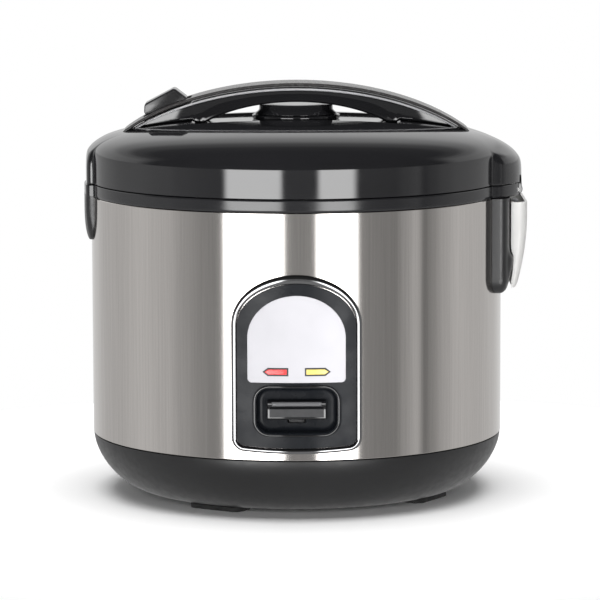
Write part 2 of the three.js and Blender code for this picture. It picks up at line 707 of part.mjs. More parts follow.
function hingeKnuckle(y0, y1) {
  const barrel = rodY(HINGE.x, HINGE.z, 4, y0, y1);
  const neck = block([HINGE.x - 3, 143.4], [y0, y1], [HINGE.z, 203]);
  return join(barrel, neck);
}

function lidCover() {
  const outside = join(lidOuter(0, LID_BOTTOM), wing(-1, 0, LID_BOTTOM), wing(1, 0, LID_BOTTOM));
  const low = LID_BOTTOM - 1;
  const inside = join(
    dome(-WALL - 1.2, low, 4),
    ring(100, BODY_R - WALL, low, LID_WALL_TOP),
    wing(-1, WALL, low),
    wing(1, WALL, low),
  );
  let body = cut(outside, inside);
  body = join(body, hingeKnuckle(-16.8, -9), hingeKnuckle(9, 16.8));
  body = cut(body, rodY(HINGE.x, HINGE.z, 1.8, -FAR, FAR));
  const earXs = [LATCH_PIVOT.x - 3.5, LATCH_PIVOT.x + 3.5];
  for (const ys of [[-12, -9.4], [9.4, 12]]) {
    const bore = rodY(LATCH_PIVOT.x, LATCH_PIVOT.z, 1.8, -FAR, FAR);
    body = join(body, cut(block(earXs, ys, [208, 223]), bore));
  }
  const stemHole = block(STEM_ROOM_X, STEM_ROOM_Y, [220, FAR + 60]);
  const screwHoles = HANDLE_SCREWS.map(([x, y]) => rodZ(x, y, 2, 220, FAR + 60, 12));
  return cut(body, stemHole, disc(VENT_TUBE_R + 0.4, 220, FAR + 60, 32), ...screwHoles);
}

add('lid_cover', lidCover(), GLOSS_BLACK);

// ---------------------------------------------------------------- lid underside

const LINER_HOLE_R = VENT_TUBE_R + 0.4;

function lidLiner() {
  const r = BODY_R - WALL - 0.4;
  const profile = [
    [LINER_HOLE_R, 200.2], [122, 200.2], [124, LID_BOTTOM], [r, LID_BOTTOM], [r, 206], [r - 1.6, 206],
    [r - 1.6, 202], [LINER_HOLE_R, 202],
  ];
  return cut(turned(profile), block([-FAR, -120], [-10, 10], [190, 210]));
}

function innerLid() {
  let plate = ring(6.4, 110.9, 198.4, 199.6);
  for (let i = 0; i < 6; i += 1) {
    const [x, y] = around(30, i * 60);
    plate = cut(plate, rodZ(x, y, 3, 190, FAR + 10, 8));
  }
  return plate;
}

function lidPlug() {
  return turned([[0, 196.4], [8.5, 196.4], [8.5, 198.1], [6, 198.1], [6, 199.9], [0, 199.9]], 24);
}

add('lid_liner', lidLiner(), SATIN_BLACK);
add('inner_lid', innerLid(), ALUMINIUM);
add('lid_plug', lidPlug(), GASKET);
add('lid_gasket', ring(111.3, 118.6, 197.9, 199.9), GASKET);

// ---------------------------------------------------------------- steam vent

function ventBase() {
  const floor = LID_TOP - CHANNEL.depth + GAP;
  const bore = VENT_TUBE_R - 1.7;
  const profile = [
    [bore, 200.4], [VENT_TUBE_R, 200.4], [VENT_TUBE_R, floor], [28, floor], [28, 240.2], [27.2, 241],
    [bore, 241],
  ];
  return turned(profile, 32);
}

function ventCap() {
  const profile = [
    [21.6, 241.3], [26.3, 241.3], [23.5, 244], [23.5, 246.7], [22.8, 247.4], [0, 247.4], [0, 245.6],
    [21.6, 245.6],
  ];
  let cap = turned(profile, 32);
  for (const angle of [50, 70, 90, 110, 130]) {
    const slot = block([18, 26], [-1.4, 1.4], [243.2, 245.2]);
    cap = cut(cap, slot.rotate([0, 0, angle]));
  }
  return cap;
}

add('steam_vent_base', ventBase(), GLOSS_BLACK);
add('steam_vent_cap', ventCap(), GLOSS_BLACK);

// ---------------------------------------------------------------- handle, its cover and the release button

const TOP_ARC = { half: 135, drop: 72 };       // ellipse of the handle's top line
const UNDER_ARC = { half: 75, drop: 36, top: 249.6 };
const COVER_THICKNESS = 2.1;
const HANDLE_END = 110.5;
const GRIP_END = 105;
const GRIP_HALF_DEPTH = 16.4;

const topLine = (x) => HANDLE_TOP - TOP_ARC.drop * (1 - Math.sqrt(1 - (x / TOP_ARC.half) ** 2));
const underLine = (x) => UNDER_ARC.top - UNDER_ARC.drop * (1 - Math.sqrt(1 - (x / UNDER_ARC.half) ** 2));

function sampled(line, from, to, steps) {
  const points = [];
  for (let i = 0; i <= steps; i += 1) {
    const x = from + ((to - from) * i) / steps;
    points.push([x, line(x)]);
  }
  return points;
}

const BUTTON_HALF_DEPTH = 10;
const BUTTON_OPENING_X = [-97.4, -66.6];
const BUTTON_WELL = [
  [BUTTON_OPENING_X[0], 262], [BUTTON_OPENING_X[0], 237.2], [-96.4, 236.2],
  [-67.6, 242.6], [BUTTON_OPENING_X[1], 244.6], [BUTTON_OPENING_X[1], 262],
];
const BUTTON_SIDE = [
  [-96.7, 242.6], [-96.6, 248.9], [-77.6, 259.2], [-69.4, 253.3], [-69.8, 247.6], [-95.6, 241.2],
];

function handleGrip() {
  const lower = (x) => topLine(x) - COVER_THICKNESS - GAP;
  const footX = 62;
  const points = [
    ...sampled(lower, -GRIP_END, GRIP_END, 24), [GRIP_END, 225], [footX, 225],
    ...sampled(underLine, footX, -footX, 16), [-footX, 225], [-GRIP_END, 225],
  ];
  const bar = slabY(outline(points), -GRIP_HALF_DEPTH, GRIP_HALF_DEPTH);
  const well = slabY(outline(BUTTON_WELL), -BUTTON_HALF_DEPTH - 0.4, BUTTON_HALF_DEPTH + 0.4);
  const stemHole = block(STEM_ROOM_X, STEM_ROOM_Y, [220, 250]);
  const screwHoles = HANDLE_SCREWS.map(([x, y]) => rodZ(x, y, 1.8, 220, 246, 12));
  return cut(bar, cut(lidClearance(), channel(GAP)), well, stemHole, ...screwHoles);
}

function handleCover() {
  const under = (x) => topLine(x) - COVER_THICKNESS;
  const tip = GRIP_END + 0.4;
  const points = [
    ...sampled(topLine, -HANDLE_END, HANDLE_END, 26), [HANDLE_END, 225], [tip, 225],
    ...sampled(under, tip, -tip, 26), [-tip, 225], [-HANDLE_END, 225],
  ];
  const bar = slabY(outline(points), -HANDLE_HALF_DEPTH, HANDLE_HALF_DEPTH);
  const opening = block(BUTTON_OPENING_X, [-BUTTON_HALF_DEPTH - 0.4, BUTTON_HALF_DEPTH + 0.4], [230, 262]);
  return cut(bar, lidClearance(), opening);
}

function releaseButton() {
  const body = slabY(outline(BUTTON_SIDE), -BUTTON_HALF_DEPTH, BUTTON_HALF_DEPTH);
  const stem = block(STEM.x, [-STEM.half, STEM.half], [STEM.low, 247]);
  return join(body, stem);
}

function latchHook() {
  const { x, z } = LATCH_PIVOT;
  const side = [
    [x - 4.2, z + 3], [x - 3.6, 186.6], [-122.2, 186.6], [-123.2, 189.6], [-125.4, 189.6], [-125.4, z - 5],
    [x + 4, z - 2.5], [-88, 221.5], [-78.5, 221.5], [-78.5, 224.9], [-89, 224.9], [x + 1, z + 4],
  ];
  const body = slabY(outline(side), -3.4, 3.4);
  const hub = rodY(x, z, 4.2, -3.4, 3.4);
  return cut(join(body, hub), rodY(x, z, 1.75, -FAR, FAR));
}

function latchSpring() {
  const wire = coil(0, 0, 2.9, 0.5, -2.3, 2.3, 3);
  return wire.rotateX(Math.PI / 2).translate(LATCH_PIVOT.x, 6.4, LATCH_PIVOT.z);
}

function handleScrew([x, y]) {
  const under = LID_WALL_TOP + domeHeight(Math.hypot(x, y)) - WALL - 4.4;
  return join(rodZ(x, y, 3.2, under - 2, under, 8), rodZ(x, y, 1.5, under - 0.5, 245, 8));
}

add('handle_grip', handleGrip(), GLOSS_BLACK);
add('handle_cover', handleCover(), SATIN_BLACK);
add('release_button', releaseButton(), SATIN_BLACK);
add('latch_hook', latchHook(), SATIN_BLACK);
add('latch_pin', rodY(LATCH_PIVOT.x, LATCH_PIVOT.z, 1.55, -12, 12), STEEL);
add('latch_spring', latchSpring(), ALUMINIUM);
HANDLE_SCREWS.forEach((place, i) => add(`handle_screw_${i + 1}`, handleScrew(place), ALUMINIUM));

// ---------------------------------------------------------------- origin at the centre of the footprint

cooker.position.x = (LATCH_REACH - COLLECTOR_REACH) / 2;

export default cooker;
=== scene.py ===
import json
import math

import bmesh
import bpy
import numpy as np
from mathutils import Matrix, Vector


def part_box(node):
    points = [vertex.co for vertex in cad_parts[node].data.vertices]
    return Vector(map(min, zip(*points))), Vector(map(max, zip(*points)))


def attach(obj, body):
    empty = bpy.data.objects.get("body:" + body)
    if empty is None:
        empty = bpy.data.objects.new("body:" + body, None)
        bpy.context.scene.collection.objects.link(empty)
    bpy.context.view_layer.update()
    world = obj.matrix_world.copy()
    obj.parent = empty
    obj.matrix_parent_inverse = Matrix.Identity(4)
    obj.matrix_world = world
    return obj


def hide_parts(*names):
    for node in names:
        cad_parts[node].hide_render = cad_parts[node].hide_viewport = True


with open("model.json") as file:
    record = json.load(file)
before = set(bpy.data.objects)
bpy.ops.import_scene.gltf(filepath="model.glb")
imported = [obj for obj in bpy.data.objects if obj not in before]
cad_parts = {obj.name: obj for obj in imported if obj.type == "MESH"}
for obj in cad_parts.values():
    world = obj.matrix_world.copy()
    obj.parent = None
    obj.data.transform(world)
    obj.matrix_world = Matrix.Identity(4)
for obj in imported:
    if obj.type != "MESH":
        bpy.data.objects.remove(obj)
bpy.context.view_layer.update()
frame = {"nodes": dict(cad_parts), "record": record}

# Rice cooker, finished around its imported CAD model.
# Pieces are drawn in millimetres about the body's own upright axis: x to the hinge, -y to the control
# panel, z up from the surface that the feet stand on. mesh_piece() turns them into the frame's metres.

SCENE = bpy.context.scene
NODES = frame["nodes"]
MM = 0.001
AXIS_X = sum(corner.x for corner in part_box("outer_shell")) / 2


def box_mm(node):
    """A CAD node's corners, in millimetres about the body's axis."""
    low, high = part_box(node)
    shift = Vector((AXIS_X, 0, 0))
    return (low - shift) / MM, (high - shift) / MM


# ---------------- driving dimensions, from the frame

SHELL_LOW, SHELL_HIGH = box_mm("outer_shell")
RING_LOW, RING_HIGH = box_mm("upper_ring")
_, LID_HIGH = box_mm("lid_cover")
BASE_LOW, BASE_HIGH = box_mm("base_cover")
COVER_LOW, COVER_HIGH = box_mm("handle_cover")
VENT_LOW, _ = box_mm("steam_vent_base")
CAP_LOW, CAP_HIGH = box_mm("steam_vent_cap")
HOUSING_LOW, _ = box_mm("hinge_housing")
CUP_LOW, CUP_HIGH = box_mm("dew_collector")
LABEL_LOW, LABEL_HIGH = box_mm("label_plate")
POT_LOW, POT_HIGH = box_mm("inner_pot")

WALL = 2.4                # thickness of the mouldings
GAP = 0.3                 # clearance between neighbouring pieces
BODY_R = SHELL_HIGH.y
RING_TOP = RING_HIGH.z
RING_BOTTOM = SHELL_HIGH.z + GAP
LID_BOTTOM = RING_TOP + 0.5
LATCH_REACH = -RING_LOW.x
HINGE_REACH = LID_HIGH.x
LATCH_HALF = 27.0         # half-widths of the lid's two wings
HINGE_HALF = 45.0
HANDLE_TOP = COVER_HIGH.z
DOME_FOOT = 215.5         # where the lid's wall turns into its dome
DOME_TOP = 240.0
DOME_POWER = 2.4          # exponent of the dome's superellipse
PIVOT_X, PIVOT_Z = 140.0, 194.0
CHANNEL_HALF = 66.0       # the hollow in the lid under the handle, along x
PLATE_R = 132.4           # front of the panel plate, from the axis
LABEL_R = 132.9           # front of the label
LAMP_Z = 93.5
BUTTON_WELL = (-97.4, -66.6)      # opening in the handle for the release button
BUTTON_WELL_DEPTH = (-10.4, 10.4)

# ---------------- meshes


MERGE = 0.004 * MM        # points nearer than this are one
SLIVER = 0.002 * MM       # edges shorter than this go
SHARP = 35.0              # degrees; a steeper edge stays sharp


def linked(name, data):
    """A new object in the scene."""
    made = bpy.data.objects.new(name, data)
    SCENE.collection.objects.link(made)
    return made


def drawn(name, verts, faces, drop_slivers=True):
    """A mesh from points in millimetres about the body's axis: doubles merged, every face turned out."""
    data = bpy.data.meshes.new(name)
    points = [((x * MM) + AXIS_X, y * MM, z * MM) for x, y, z in verts]
    data.from_pydata(points, [], [tuple(int(i) for i in f) for f in faces])
    mesh = bmesh.new()
    mesh.from_mesh(data)
    bmesh.ops.remove_doubles(mesh, verts=mesh.verts, dist=MERGE)
    if drop_slivers:
        bmesh.ops.dissolve_degenerate(mesh, edges=mesh.edges, dist=SLIVER)
    bmesh.ops.recalc_face_normals(mesh, faces=mesh.faces)
    mesh.to_mesh(data)
    mesh.free()
    return data


def mesh_piece(name, verts, faces, material, body, slot, replaces=(), angle=SHARP):
    """A new piece, riding on a body; replaces names the CAD nodes that it stands for."""
    data = drawn(name, verts, faces)
    piece = linked(name, data)
    smooth(piece, angle)
    data.materials.append(material)
    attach(piece, body)
    if replaces:
        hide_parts(*replaces)
    return piece


def smooth(piece, angle):
    """Smooth shading on all but the sharp edges."""
    piece.data.shade_smooth()
    piece.data.set_sharp_from_angle(angle=math.radians(angle))


def bake(piece):
    """Applies the piece's modifiers."""
    graph = bpy.context.evaluated_depsgraph_get()
    done = bpy.data.meshes.new_from_object(piece.evaluated_get(graph))
    piece.modifiers.clear()
    old = piece.data
    piece.data = done
    bpy.data.meshes.remove(old)


def bevel(piece, width, segments, angle=SHARP):
    """Rounds a piece's edges by a width in millimetres."""
    mod = piece.modifiers.new("round", "BEVEL")
    mod.width = width * MM
    mod.segments = segments
    mod.limit_method = "ANGLE"
    mod.angle_limit = math.radians(angle)
    mod.harden_normals = False
    bake(piece)
    smooth(piece, angle)


def carve(piece, verts, faces, angle=SHARP):
    """Cuts a closed solid, drawn as for mesh_piece, out of a piece."""
    data = drawn("cutter", verts, faces, drop_slivers=False)
    tool = linked("cutter", data)
    mod = piece.modifiers.new("cut", "BOOLEAN")
    mod.operation = "DIFFERENCE"
    mod.solver = "EXACT"
    mod.object = tool
    bake(piece)
    bpy.data.objects.remove(tool)
    bpy.data.meshes.remove(data)
    smooth(piece, angle)


def joined(*solids):
    """Several (verts, faces) solids as one."""
    verts, faces = [], []
    for some, more in solids:
        start = len(verts)
        verts.extend(tuple(v) for v in some)
        faces.extend(tuple(i + start for i in f) for f in more)
    return verts, faces


def grid(rows, close_rows=False, close_columns=True):
    """Quads over rows of points; every row has the same number of points."""
    rows = [np.asarray(r, float) for r in rows]
    count = len(rows[0])
    verts = np.concatenate(rows)
    faces = []
    row_pairs = len(rows) if close_rows else len(rows) - 1
    column_pairs = count if close_columns else count - 1
    for i in range(row_pairs):
        below, above = i * count, ((i + 1) % len(rows)) * count
        for j in range(column_pairs):
            k = (j + 1) % count
            faces.append((below + j, below + k, above + k, above + j))
    return [tuple(v) for v in verts], faces


def capped(rows):
    """Quads over rows of points, closed at the first row and the last."""
    verts, faces = grid(rows)
    count = len(rows[0])
    faces.append(tuple(range(count)))
    faces.append(tuple(range(len(verts) - count, len(verts))))
    return verts, faces


def halved(low, high, steps, outside):
    """Where outside() turns true between low and high, found by halving."""
    for _ in range(steps):
        middle = (low + high) / 2
        past = outside(middle)
        high = np.where(past, middle, high)
        low = np.where(past, low, middle)
    return (low + high) / 2


def spun(outline, degrees):
    """(u, v) points turned about the origin."""
    turn = math.radians(degrees)
    return [(u * math.cos(turn) - v * math.sin(turn), u * math.sin(turn) + v * math.cos(turn))
            for u, v in outline]


def lathe(profile, steps):
    """A turned solid from a closed profile of (radius, z) points."""
    turn = np.linspace(0, 2 * math.pi, steps, endpoint=False)
    rows = [np.stack([r * np.cos(turn), r * np.sin(turn), np.full(steps, z)], 1) for r, z in profile]
    return grid(rows, close_rows=True)


def arc(cx, cz, radius, start, end, steps=6):
    """Points round an arc in a profile, in degrees."""
    return [(cx + radius * math.cos(math.radians(a)), cz + radius * math.sin(math.radians(a)))
            for a in np.linspace(start, end, steps + 1)]


def prism(outline, low, high, axis="y"):
    """A closed solid from an outline of (u, v) points: (x, z) along y, (x, y) along z, (y, z) along x."""
    place = {
        "x": lambda u, v, w: (w, u, v),
        "y": lambda u, v, w: (u, w, v),
        "z": lambda u, v, w: (u, v, w),
    }[axis]
    count = len(outline)
    verts = [place(u, v, w) for w in (low, high) for u, v in outline]
    faces = [tuple(range(count)), tuple(range(2 * count - 1, count - 1, -1))]
    faces += [(i, (i + 1) % count, count + (i + 1) % count, count + i) for i in range(count)]
    return verts, faces


def cuboid(xs, ys, zs):
    return prism([(xs[0], ys[0]), (xs[1], ys[0]), (xs[1], ys[1]), (xs[0], ys[1])], zs[0], zs[1], "z")


def rounded(u0, u1, v0, v1, radius, steps=6):
    """The outline of a rounded rectangle."""
    points = []
    for cu, cv, start in ((u1, v0, -90), (u1, v1, 0), (u0, v1, 90), (u0, v0, 180)):
        su, sv = (1 if cu == u1 else -1), (1 if cv == v1 else -1)
        points += arc(cu - su * radius, cv - sv * radius, radius, start, start + 90, steps)
    return points


# ---------------- materials


class Shader:
    """One procedural material: a principled shader and the textures that feed it."""

    def __init__(self, name, color, roughness, metallic=0.0, **fixed):
        self.material = bpy.data.materials.new(name)
        self.material.use_nodes = True
        self.tree = self.material.node_tree
        self.shader = self.tree.nodes["Principled BSDF"]
        self.color = (*color, 1.0)
        self.fix(self.shader, Base_Color=self.color, Roughness=roughness, Metallic=metallic, **fixed)
        self.place = self.add("ShaderNodeTexCoord").outputs["Object"]

    @staticmethod
    def fix(node, **values):
        """Sets a node's inputs by name, with _ for a space."""
        for socket, value in values.items():
            node.inputs[socket.replace("_", " ")].default_value = value

    def add(self, kind, **values):
        node = self.tree.nodes.new(kind)
        self.fix(node, **values)
        return node

    def link(self, source, target):
        self.tree.links.new(source, target)

    def noise(self, scale, detail=3.0, stretch=(1, 1, 1), rough=0.55):
        """Noise in the frame's metres; stretch squeezes it along an axis."""
        mapping = self.add("ShaderNodeMapping", Scale=stretch)
        self.link(self.place, mapping.inputs["Vector"])
        noise = self.add("ShaderNodeTexNoise", Scale=scale, Detail=detail, Roughness=rough)
        self.link(mapping.outputs["Vector"], noise.inputs["Vector"])
        return noise.outputs["Fac"]

    def remap(self, source, low, high):
        """Noise, which mostly lies between 0.3 and 0.7, spread from low to high."""
        node = self.add("ShaderNodeMapRange", From_Min=0.3, From_Max=0.7, To_Min=low, To_Max=high)
        self.link(source, node.inputs["Value"])
        return node.outputs["Result"]

    def vary_color(self, source, dark, light):
        """The colour goes from dark to light times the base colour along a texture."""
        mix = self.add("ShaderNodeMix")
        mix.data_type = "RGBA"
        mix.inputs[6].default_value = (*[c * dark for c in self.color[:3]], 1)
        mix.inputs[7].default_value = (*[min(1, c * light) for c in self.color[:3]], 1)
        self.link(self.remap(source, 0, 1), mix.inputs[0])
        self.link(mix.outputs[2], self.shader.inputs["Base Color"])

    def vary_roughness(self, source, low, high):
        self.link(self.remap(source, low, high), self.shader.inputs["Roughness"])

    def bump(self, source, depth_mm):
        node = self.add("ShaderNodeBump", Distance=depth_mm * MM)
        self.link(source, node.inputs["Height"])
        self.link(node.outputs["Normal"], self.shader.inputs["Normal"])


def gloss(name, color, roughness=0.08, ior=1.55):
    """Polished moulded plastic: faint mould flow, a little dust in the gloss."""
    made = Shader(name, color, roughness, IOR=ior)
    made.vary_color(made.noise(9, 4), 0.85, 1.2)
    made.vary_roughness(made.noise(60, 5), roughness * 0.7, roughness * 1.5)
    made.bump(made.noise(35, 2), 0.012)
    return made.material


def satin(name, color, roughness=0.42, grain=0.02):
    """Spark-eroded moulded plastic: a fine even grain."""
    made = Shader(name, color, roughness, IOR=1.5)
    made.vary_color(made.noise(14, 4), 0.85, 1.18)
    made.vary_roughness(made.noise(220, 4), roughness * 0.85, roughness * 1.15)
    made.bump(made.noise(1800, 2), grain)
    return made.material


def brushed(name, color, roughness, stretch, anisotropic=0.6, turn=0.0, streak=900.0):
    """Metal brushed along one axis: fine streaks, broad faint bands, directional gloss."""
    made = Shader(name, color, roughness, 1.0, Anisotropic=anisotropic, Anisotropic_Rotation=turn)
    fine = made.noise(streak, 4, stretch, 0.7)
    broad = made.noise(streak * 0.07, 3, stretch)
    made.vary_color(fine, 0.93, 1.05)
    made.vary_roughness(broad, roughness * 0.88, roughness * 1.12)
    made.bump(fine, 0.004)
    tangent = made.add("ShaderNodeTangent")
    tangent.direction_type = "RADIAL"
    tangent.axis = "Z"
    made.link(tangent.outputs["Tangent"], made.shader.inputs["Tangent"])
    return made.material


def metal(name, color, roughness, scale=120.0, depth=0.006):
    """Plain metal with cloudy gloss and fine pitting."""
    made = Shader(name, color, roughness, 1.0)
    made.vary_color(made.noise(scale * 0.3, 4), 0.9, 1.06)
    made.vary_roughness(made.noise(scale, 5), roughness * 0.75, roughness * 1.3)
    made.bump(made.noise(scale * 6, 2), depth)
    return made.material


def rubbery(name, color, roughness=0.75):
    """Rubber or a rubbery coat: dull and slightly uneven."""
    made = Shader(name, color, roughness, IOR=1.45)
    made.vary_color(made.noise(40, 4), 0.75, 1.35)
    made.vary_roughness(made.noise(300, 4), roughness * 0.9, min(1.0, roughness * 1.2))
    made.bump(made.noise(900, 3), 0.03)
    return made.material


def clear(name, color, roughness=0.05):
    """Frosted clear plastic."""
    made = Shader(name, color, roughness, IOR=1.49, Transmission_Weight=0.35)
    made.vary_color(made.noise(25, 3), 0.98, 1.01)
    made.vary_roughness(made.noise(90, 4), roughness * 0.85, roughness * 1.3)
    made.bump(made.noise(45, 2), 0.003)
    return made.material


def lamp(name, color):
    """A coloured lens that isn't lit."""
    made = Shader(name, color, 0.18, IOR=1.49, Transmission_Weight=0.15)
    made.vary_color(made.noise(500, 3, (1, 1, 3)), 0.88, 1.12)
    made.vary_roughness(made.noise(120, 3), 0.12, 0.28)
    return made.material


STEEL = brushed("brushed_steel", (0.625, 0.597, 0.572), 0.13, (1, 1, 0.012), 0.8, 0.25)
CHROME = metal("chrome", (0.25, 0.25, 0.255), 0.10, 60, 0.002)
GLOSS = gloss("lid_black", (0.007, 0.007, 0.0078), 0.06, 1.58)
RING_BLACK = gloss("ring_black", (0.009, 0.009, 0.010), 0.12, 1.5)
BUTTON_BLACK = gloss("button_black", (0.012, 0.012, 0.0125), 0.14, 1.5)
LEG_BLACK = satin("leg_black", (0.010, 0.010, 0.0105), 0.34, 0.006)
PANEL_BLACK = gloss("panel_black", (0.0065, 0.0075, 0.0095), 0.28, 1.22)
SATIN = satin("cover_satin", (0.026, 0.025, 0.025), 0.26)
# Light grey bead along the grip's trim: its colour is a painted highlight line.
BEAD_PAINTED_HIGHLIGHT = satin("handle_bead_painted_highlight", (0.36, 0.36, 0.37), 0.30, 0.004)
# Lever rib in lighter grey than the key: its colour is a painted highlight.
RIB_PAINTED_HIGHLIGHT = satin("lever_rib_painted_highlight", (0.11, 0.11, 0.115), 0.22, 0.006)
GRIP_FACE = rubbery("lever_face", (0.030, 0.030, 0.032), 0.5)
BASE_GREY = satin("base_grey", (0.0075, 0.0075, 0.008), 0.38, 0.010)
RUBBER = rubbery("foot_rubber", (0.012, 0.012, 0.012))
SILICONE = rubbery("silicone", (0.60, 0.58, 0.53), 0.5)
LABEL = gloss("label_film", (0.43, 0.425, 0.447), 0.4, 1.2)
RED = lamp("red_lamp", (0.80, 0.045, 0.045))
YELLOW = lamp("yellow_lamp", (0.80, 0.64, 0.16))
OUTLINE = satin("print_black", (0.02, 0.02, 0.022), 0.5, 0.002)
CLEAR = clear("clear_cup", (0.60, 0.597, 0.585), 0.34)
CLIP = satin("clip_grey", (0.16, 0.17, 0.19), 0.45)
ALUMINIUM = brushed("turned_aluminium", (0.68, 0.68, 0.68), 0.32, (0.02, 0.02, 1), 0.4, 0.0, 700.0)
COAT = satin("pot_coating", (0.085, 0.085, 0.088), 0.45, 0.01)
PLATED = metal("plated_steel", (0.55, 0.55, 0.54), 0.3)
BRASS = metal("plated_brass", (0.72, 0.56, 0.27), 0.25)
DARK = satin("inner_black", (0.022, 0.022, 0.023), 0.5)
PALE = satin("pale_plastic", (0.60, 0.57, 0.50), 0.5)
GREEN = satin("board_green", (0.03, 0.15, 0.06), 0.4)
ELEMENT = metal("heater_sheath", (0.28, 0.27, 0.26), 0.5, 200, 0.02)

SLOT_LOOKS = {
    "base_grey": BASE_GREY, "rubber": RUBBER, "screw_steel": PLATED, "spring_steel": PLATED,
    "brushed_shell": STEEL, "ring_black": RING_BLACK, "housing_black": RING_BLACK,
    "clear_plastic": CLEAR, "clip_grey": CLIP, "liner_metal": ALUMINIUM, "pot_metal": COAT,
    "cast_plate": ALUMINIUM, "element_steel": ELEMENT, "sensor_metal": ALUMINIUM,
    "fuse_plastic": PALE, "lever_gloss": PANEL_BLACK, "switch_black": DARK, "chrome_trim": CHROME,
    "panel_gloss": PANEL_BLACK, "label_silver": LABEL, "red_lamp": RED, "yellow_lamp": YELLOW,
    "board_green": GREEN, "inlet_black": DARK, "pin_brass": BRASS, "lid_gloss": GLOSS,
    "lid_liner_black": DARK, "inner_lid_metal": ALUMINIUM, "silicone": SILICONE,
    "vent_gloss": GLOSS, "grip_gloss": GLOSS, "cover_satin": SATIN, "hook_black": DARK,
}


def dress_cad_nodes():
    """Gives every carried-over CAD node the finish of its slot, and smooths its turned faces."""
    slots = {row["node"]: row["material_slot"] for row in frame["record"]["subparts"]}
    for name, node in NODES.items():
        for slot in node.material_slots:
            slot.material = SLOT_LOOKS[slots[name]]
        smooth(node, 28.0)


# ---------------- plan outline of ring and lid rim


def superellipse(t, power):
    """What is left of one half-axis at a fraction t of the other."""
    return np.power(np.clip(1 - np.power(np.clip(np.abs(t), 0, 1), power), 0, 1), 1 / power)


def dome(r):
    return DOME_FOOT + (DOME_TOP - DOME_FOOT) * superellipse(np.asarray(r) / BODY_R, DOME_POWER)


def corner_max(a, b, k):
    """The larger of two distances, with the corner between them rounded by about k."""
    h = np.maximum(k - np.abs(a - b), 0) / k
    return np.maximum(a, b) + h * h * k / 4


def corner_min(a, b, k):
    return -corner_max(-a, -b, k)


HINGE_ARC_X = 77.7        # centre of the arc at the hinge wing's end
WING_ROOT = 90.0          # both wings start this far from the axis
PLAN_BLEND = 0.8          # rounding where a wing leaves the body


def hinge_plan(x, y, reach):
    """Distance outside the hinge wing's plan."""
    face = np.hypot(x - HINGE_ARC_X, y) - (reach - HINGE_ARC_X)
    return corner_max(face, np.abs(y) - HINGE_HALF, 7.0)


def latch_plan(x, y, reach):
    face = np.hypot(x, y) - reach
    return corner_max(face, np.abs(y) - LATCH_HALF, 3.5)


def turn_angles():
    """Directions round the axis, closer together where the wings' sides are."""
    fine = [np.linspace(0, 360, 240, endpoint=False)]
    for side, spread in ((0, math.degrees(math.asin(HINGE_HALF / BODY_R))),
                         (180, math.degrees(math.asin(LATCH_HALF / BODY_R)))):
        for way in (-1, 1):
            middle = side + way * (spread - 0.6)
            fine.append(np.linspace(middle - 1.8, middle + 1.8, 37) % 360)
    return np.unique(np.round(np.concatenate(fine), 4))


ANGLES = np.radians(turn_angles())


def plan_radius(latch, hinge):
    """Radius of the outline in each direction, with the wings at their reaches."""
    cos, sin = np.cos(ANGLES), np.sin(ANGLES)

    def outside(radius):
        x, y = radius * cos, radius * sin
        left = corner_max(latch_plan(x, y, latch), x + WING_ROOT, 1.0)
        right = corner_max(hinge_plan(x, y, hinge), WING_ROOT - x, 1.0)
        return corner_min(corner_min(radius - BODY_R, left, PLAN_BLEND), right, PLAN_BLEND) > 0

    return halved(np.full(len(ANGLES), 100.0), np.full(len(ANGLES), 160.0), 40, outside)


# ---------------- lid cover


def lid_distance(x, y, z):
    """Rounded union of the dome and the two wings; negative inside."""
    r = np.hypot(x, y)
    up = np.maximum(z - DOME_FOOT, 0) / (DOME_TOP - DOME_FOOT)
    rho = np.power(np.power(r / BODY_R, DOME_POWER) + np.power(up, DOME_POWER), 1 / DOME_POWER)
    shrink = np.power(np.maximum(rho, 1e-6), 1 - DOME_POWER)
    slope_r = shrink * np.power(r / BODY_R, DOME_POWER - 1) / BODY_R
    slope_z = shrink * np.power(up, DOME_POWER - 1) / (DOME_TOP - DOME_FOOT)
    body = (rho - 1) / np.maximum(np.hypot(slope_r, slope_z), 1e-4)

    def wing(side, reach, foot, power, plan, half, crown):
        out = np.maximum(side * x, 0)
        sink = 3.0 * np.clip((122 - out) / 24, 0, 1) ** 1.6
        rise = np.maximum(z + sink - foot, 0) / (DOME_TOP - foot)
        rho = np.power(np.power(out / reach, power) + np.power(rise, power), 1 / power)
        over = (rho - 1) * (DOME_TOP - foot)
        over = over + crown * (y / half) ** 2 * np.clip((z - foot) / 18, 0, 1)
        return corner_max(corner_max(over, plan(x, y, reach), 2.6), 84 - out, 1.0)

    left = wing(-1, LATCH_REACH, 209.0, 2.75, latch_plan, LATCH_HALF, 1.4)
    right = wing(1, HINGE_REACH, 203.0, 2.5, hinge_plan, HINGE_HALF, 4.0)
    return corner_min(corner_min(body, left, 1.1), right, 1.1)


def lid_rows():
    """Rows of points over the lid's outside, from the rim up to the crown."""
    steps = 58
    share = (np.arange(steps + 1) / steps) ** 1.08
    r = BODY_R * np.cos(share * math.pi / 2)
    z = dome(r)
    wall = np.linspace(LID_BOTTOM, DOME_FOOT, 9)[:-1]
    lift = np.concatenate([np.arctan2(wall - LID_BOTTOM, BODY_R), np.arctan2(z - LID_BOTTOM, r)])
    rows = []
    for climb in lift[:-1]:
        cos, sin = np.cos(ANGLES) * math.cos(climb), np.sin(ANGLES) * math.cos(climb)

        def outside(far, cos=cos, sin=sin, climb=climb):
            return lid_distance(far * cos, far * sin, LID_BOTTOM + far * math.sin(climb)) > 0

        reach = halved(np.full(len(ANGLES), 20.0), np.full(len(ANGLES), 190.0), 36, outside)
        rows.append(np.stack([reach * cos, reach * sin, LID_BOTTOM + reach * math.sin(climb)], 1))
    return rows


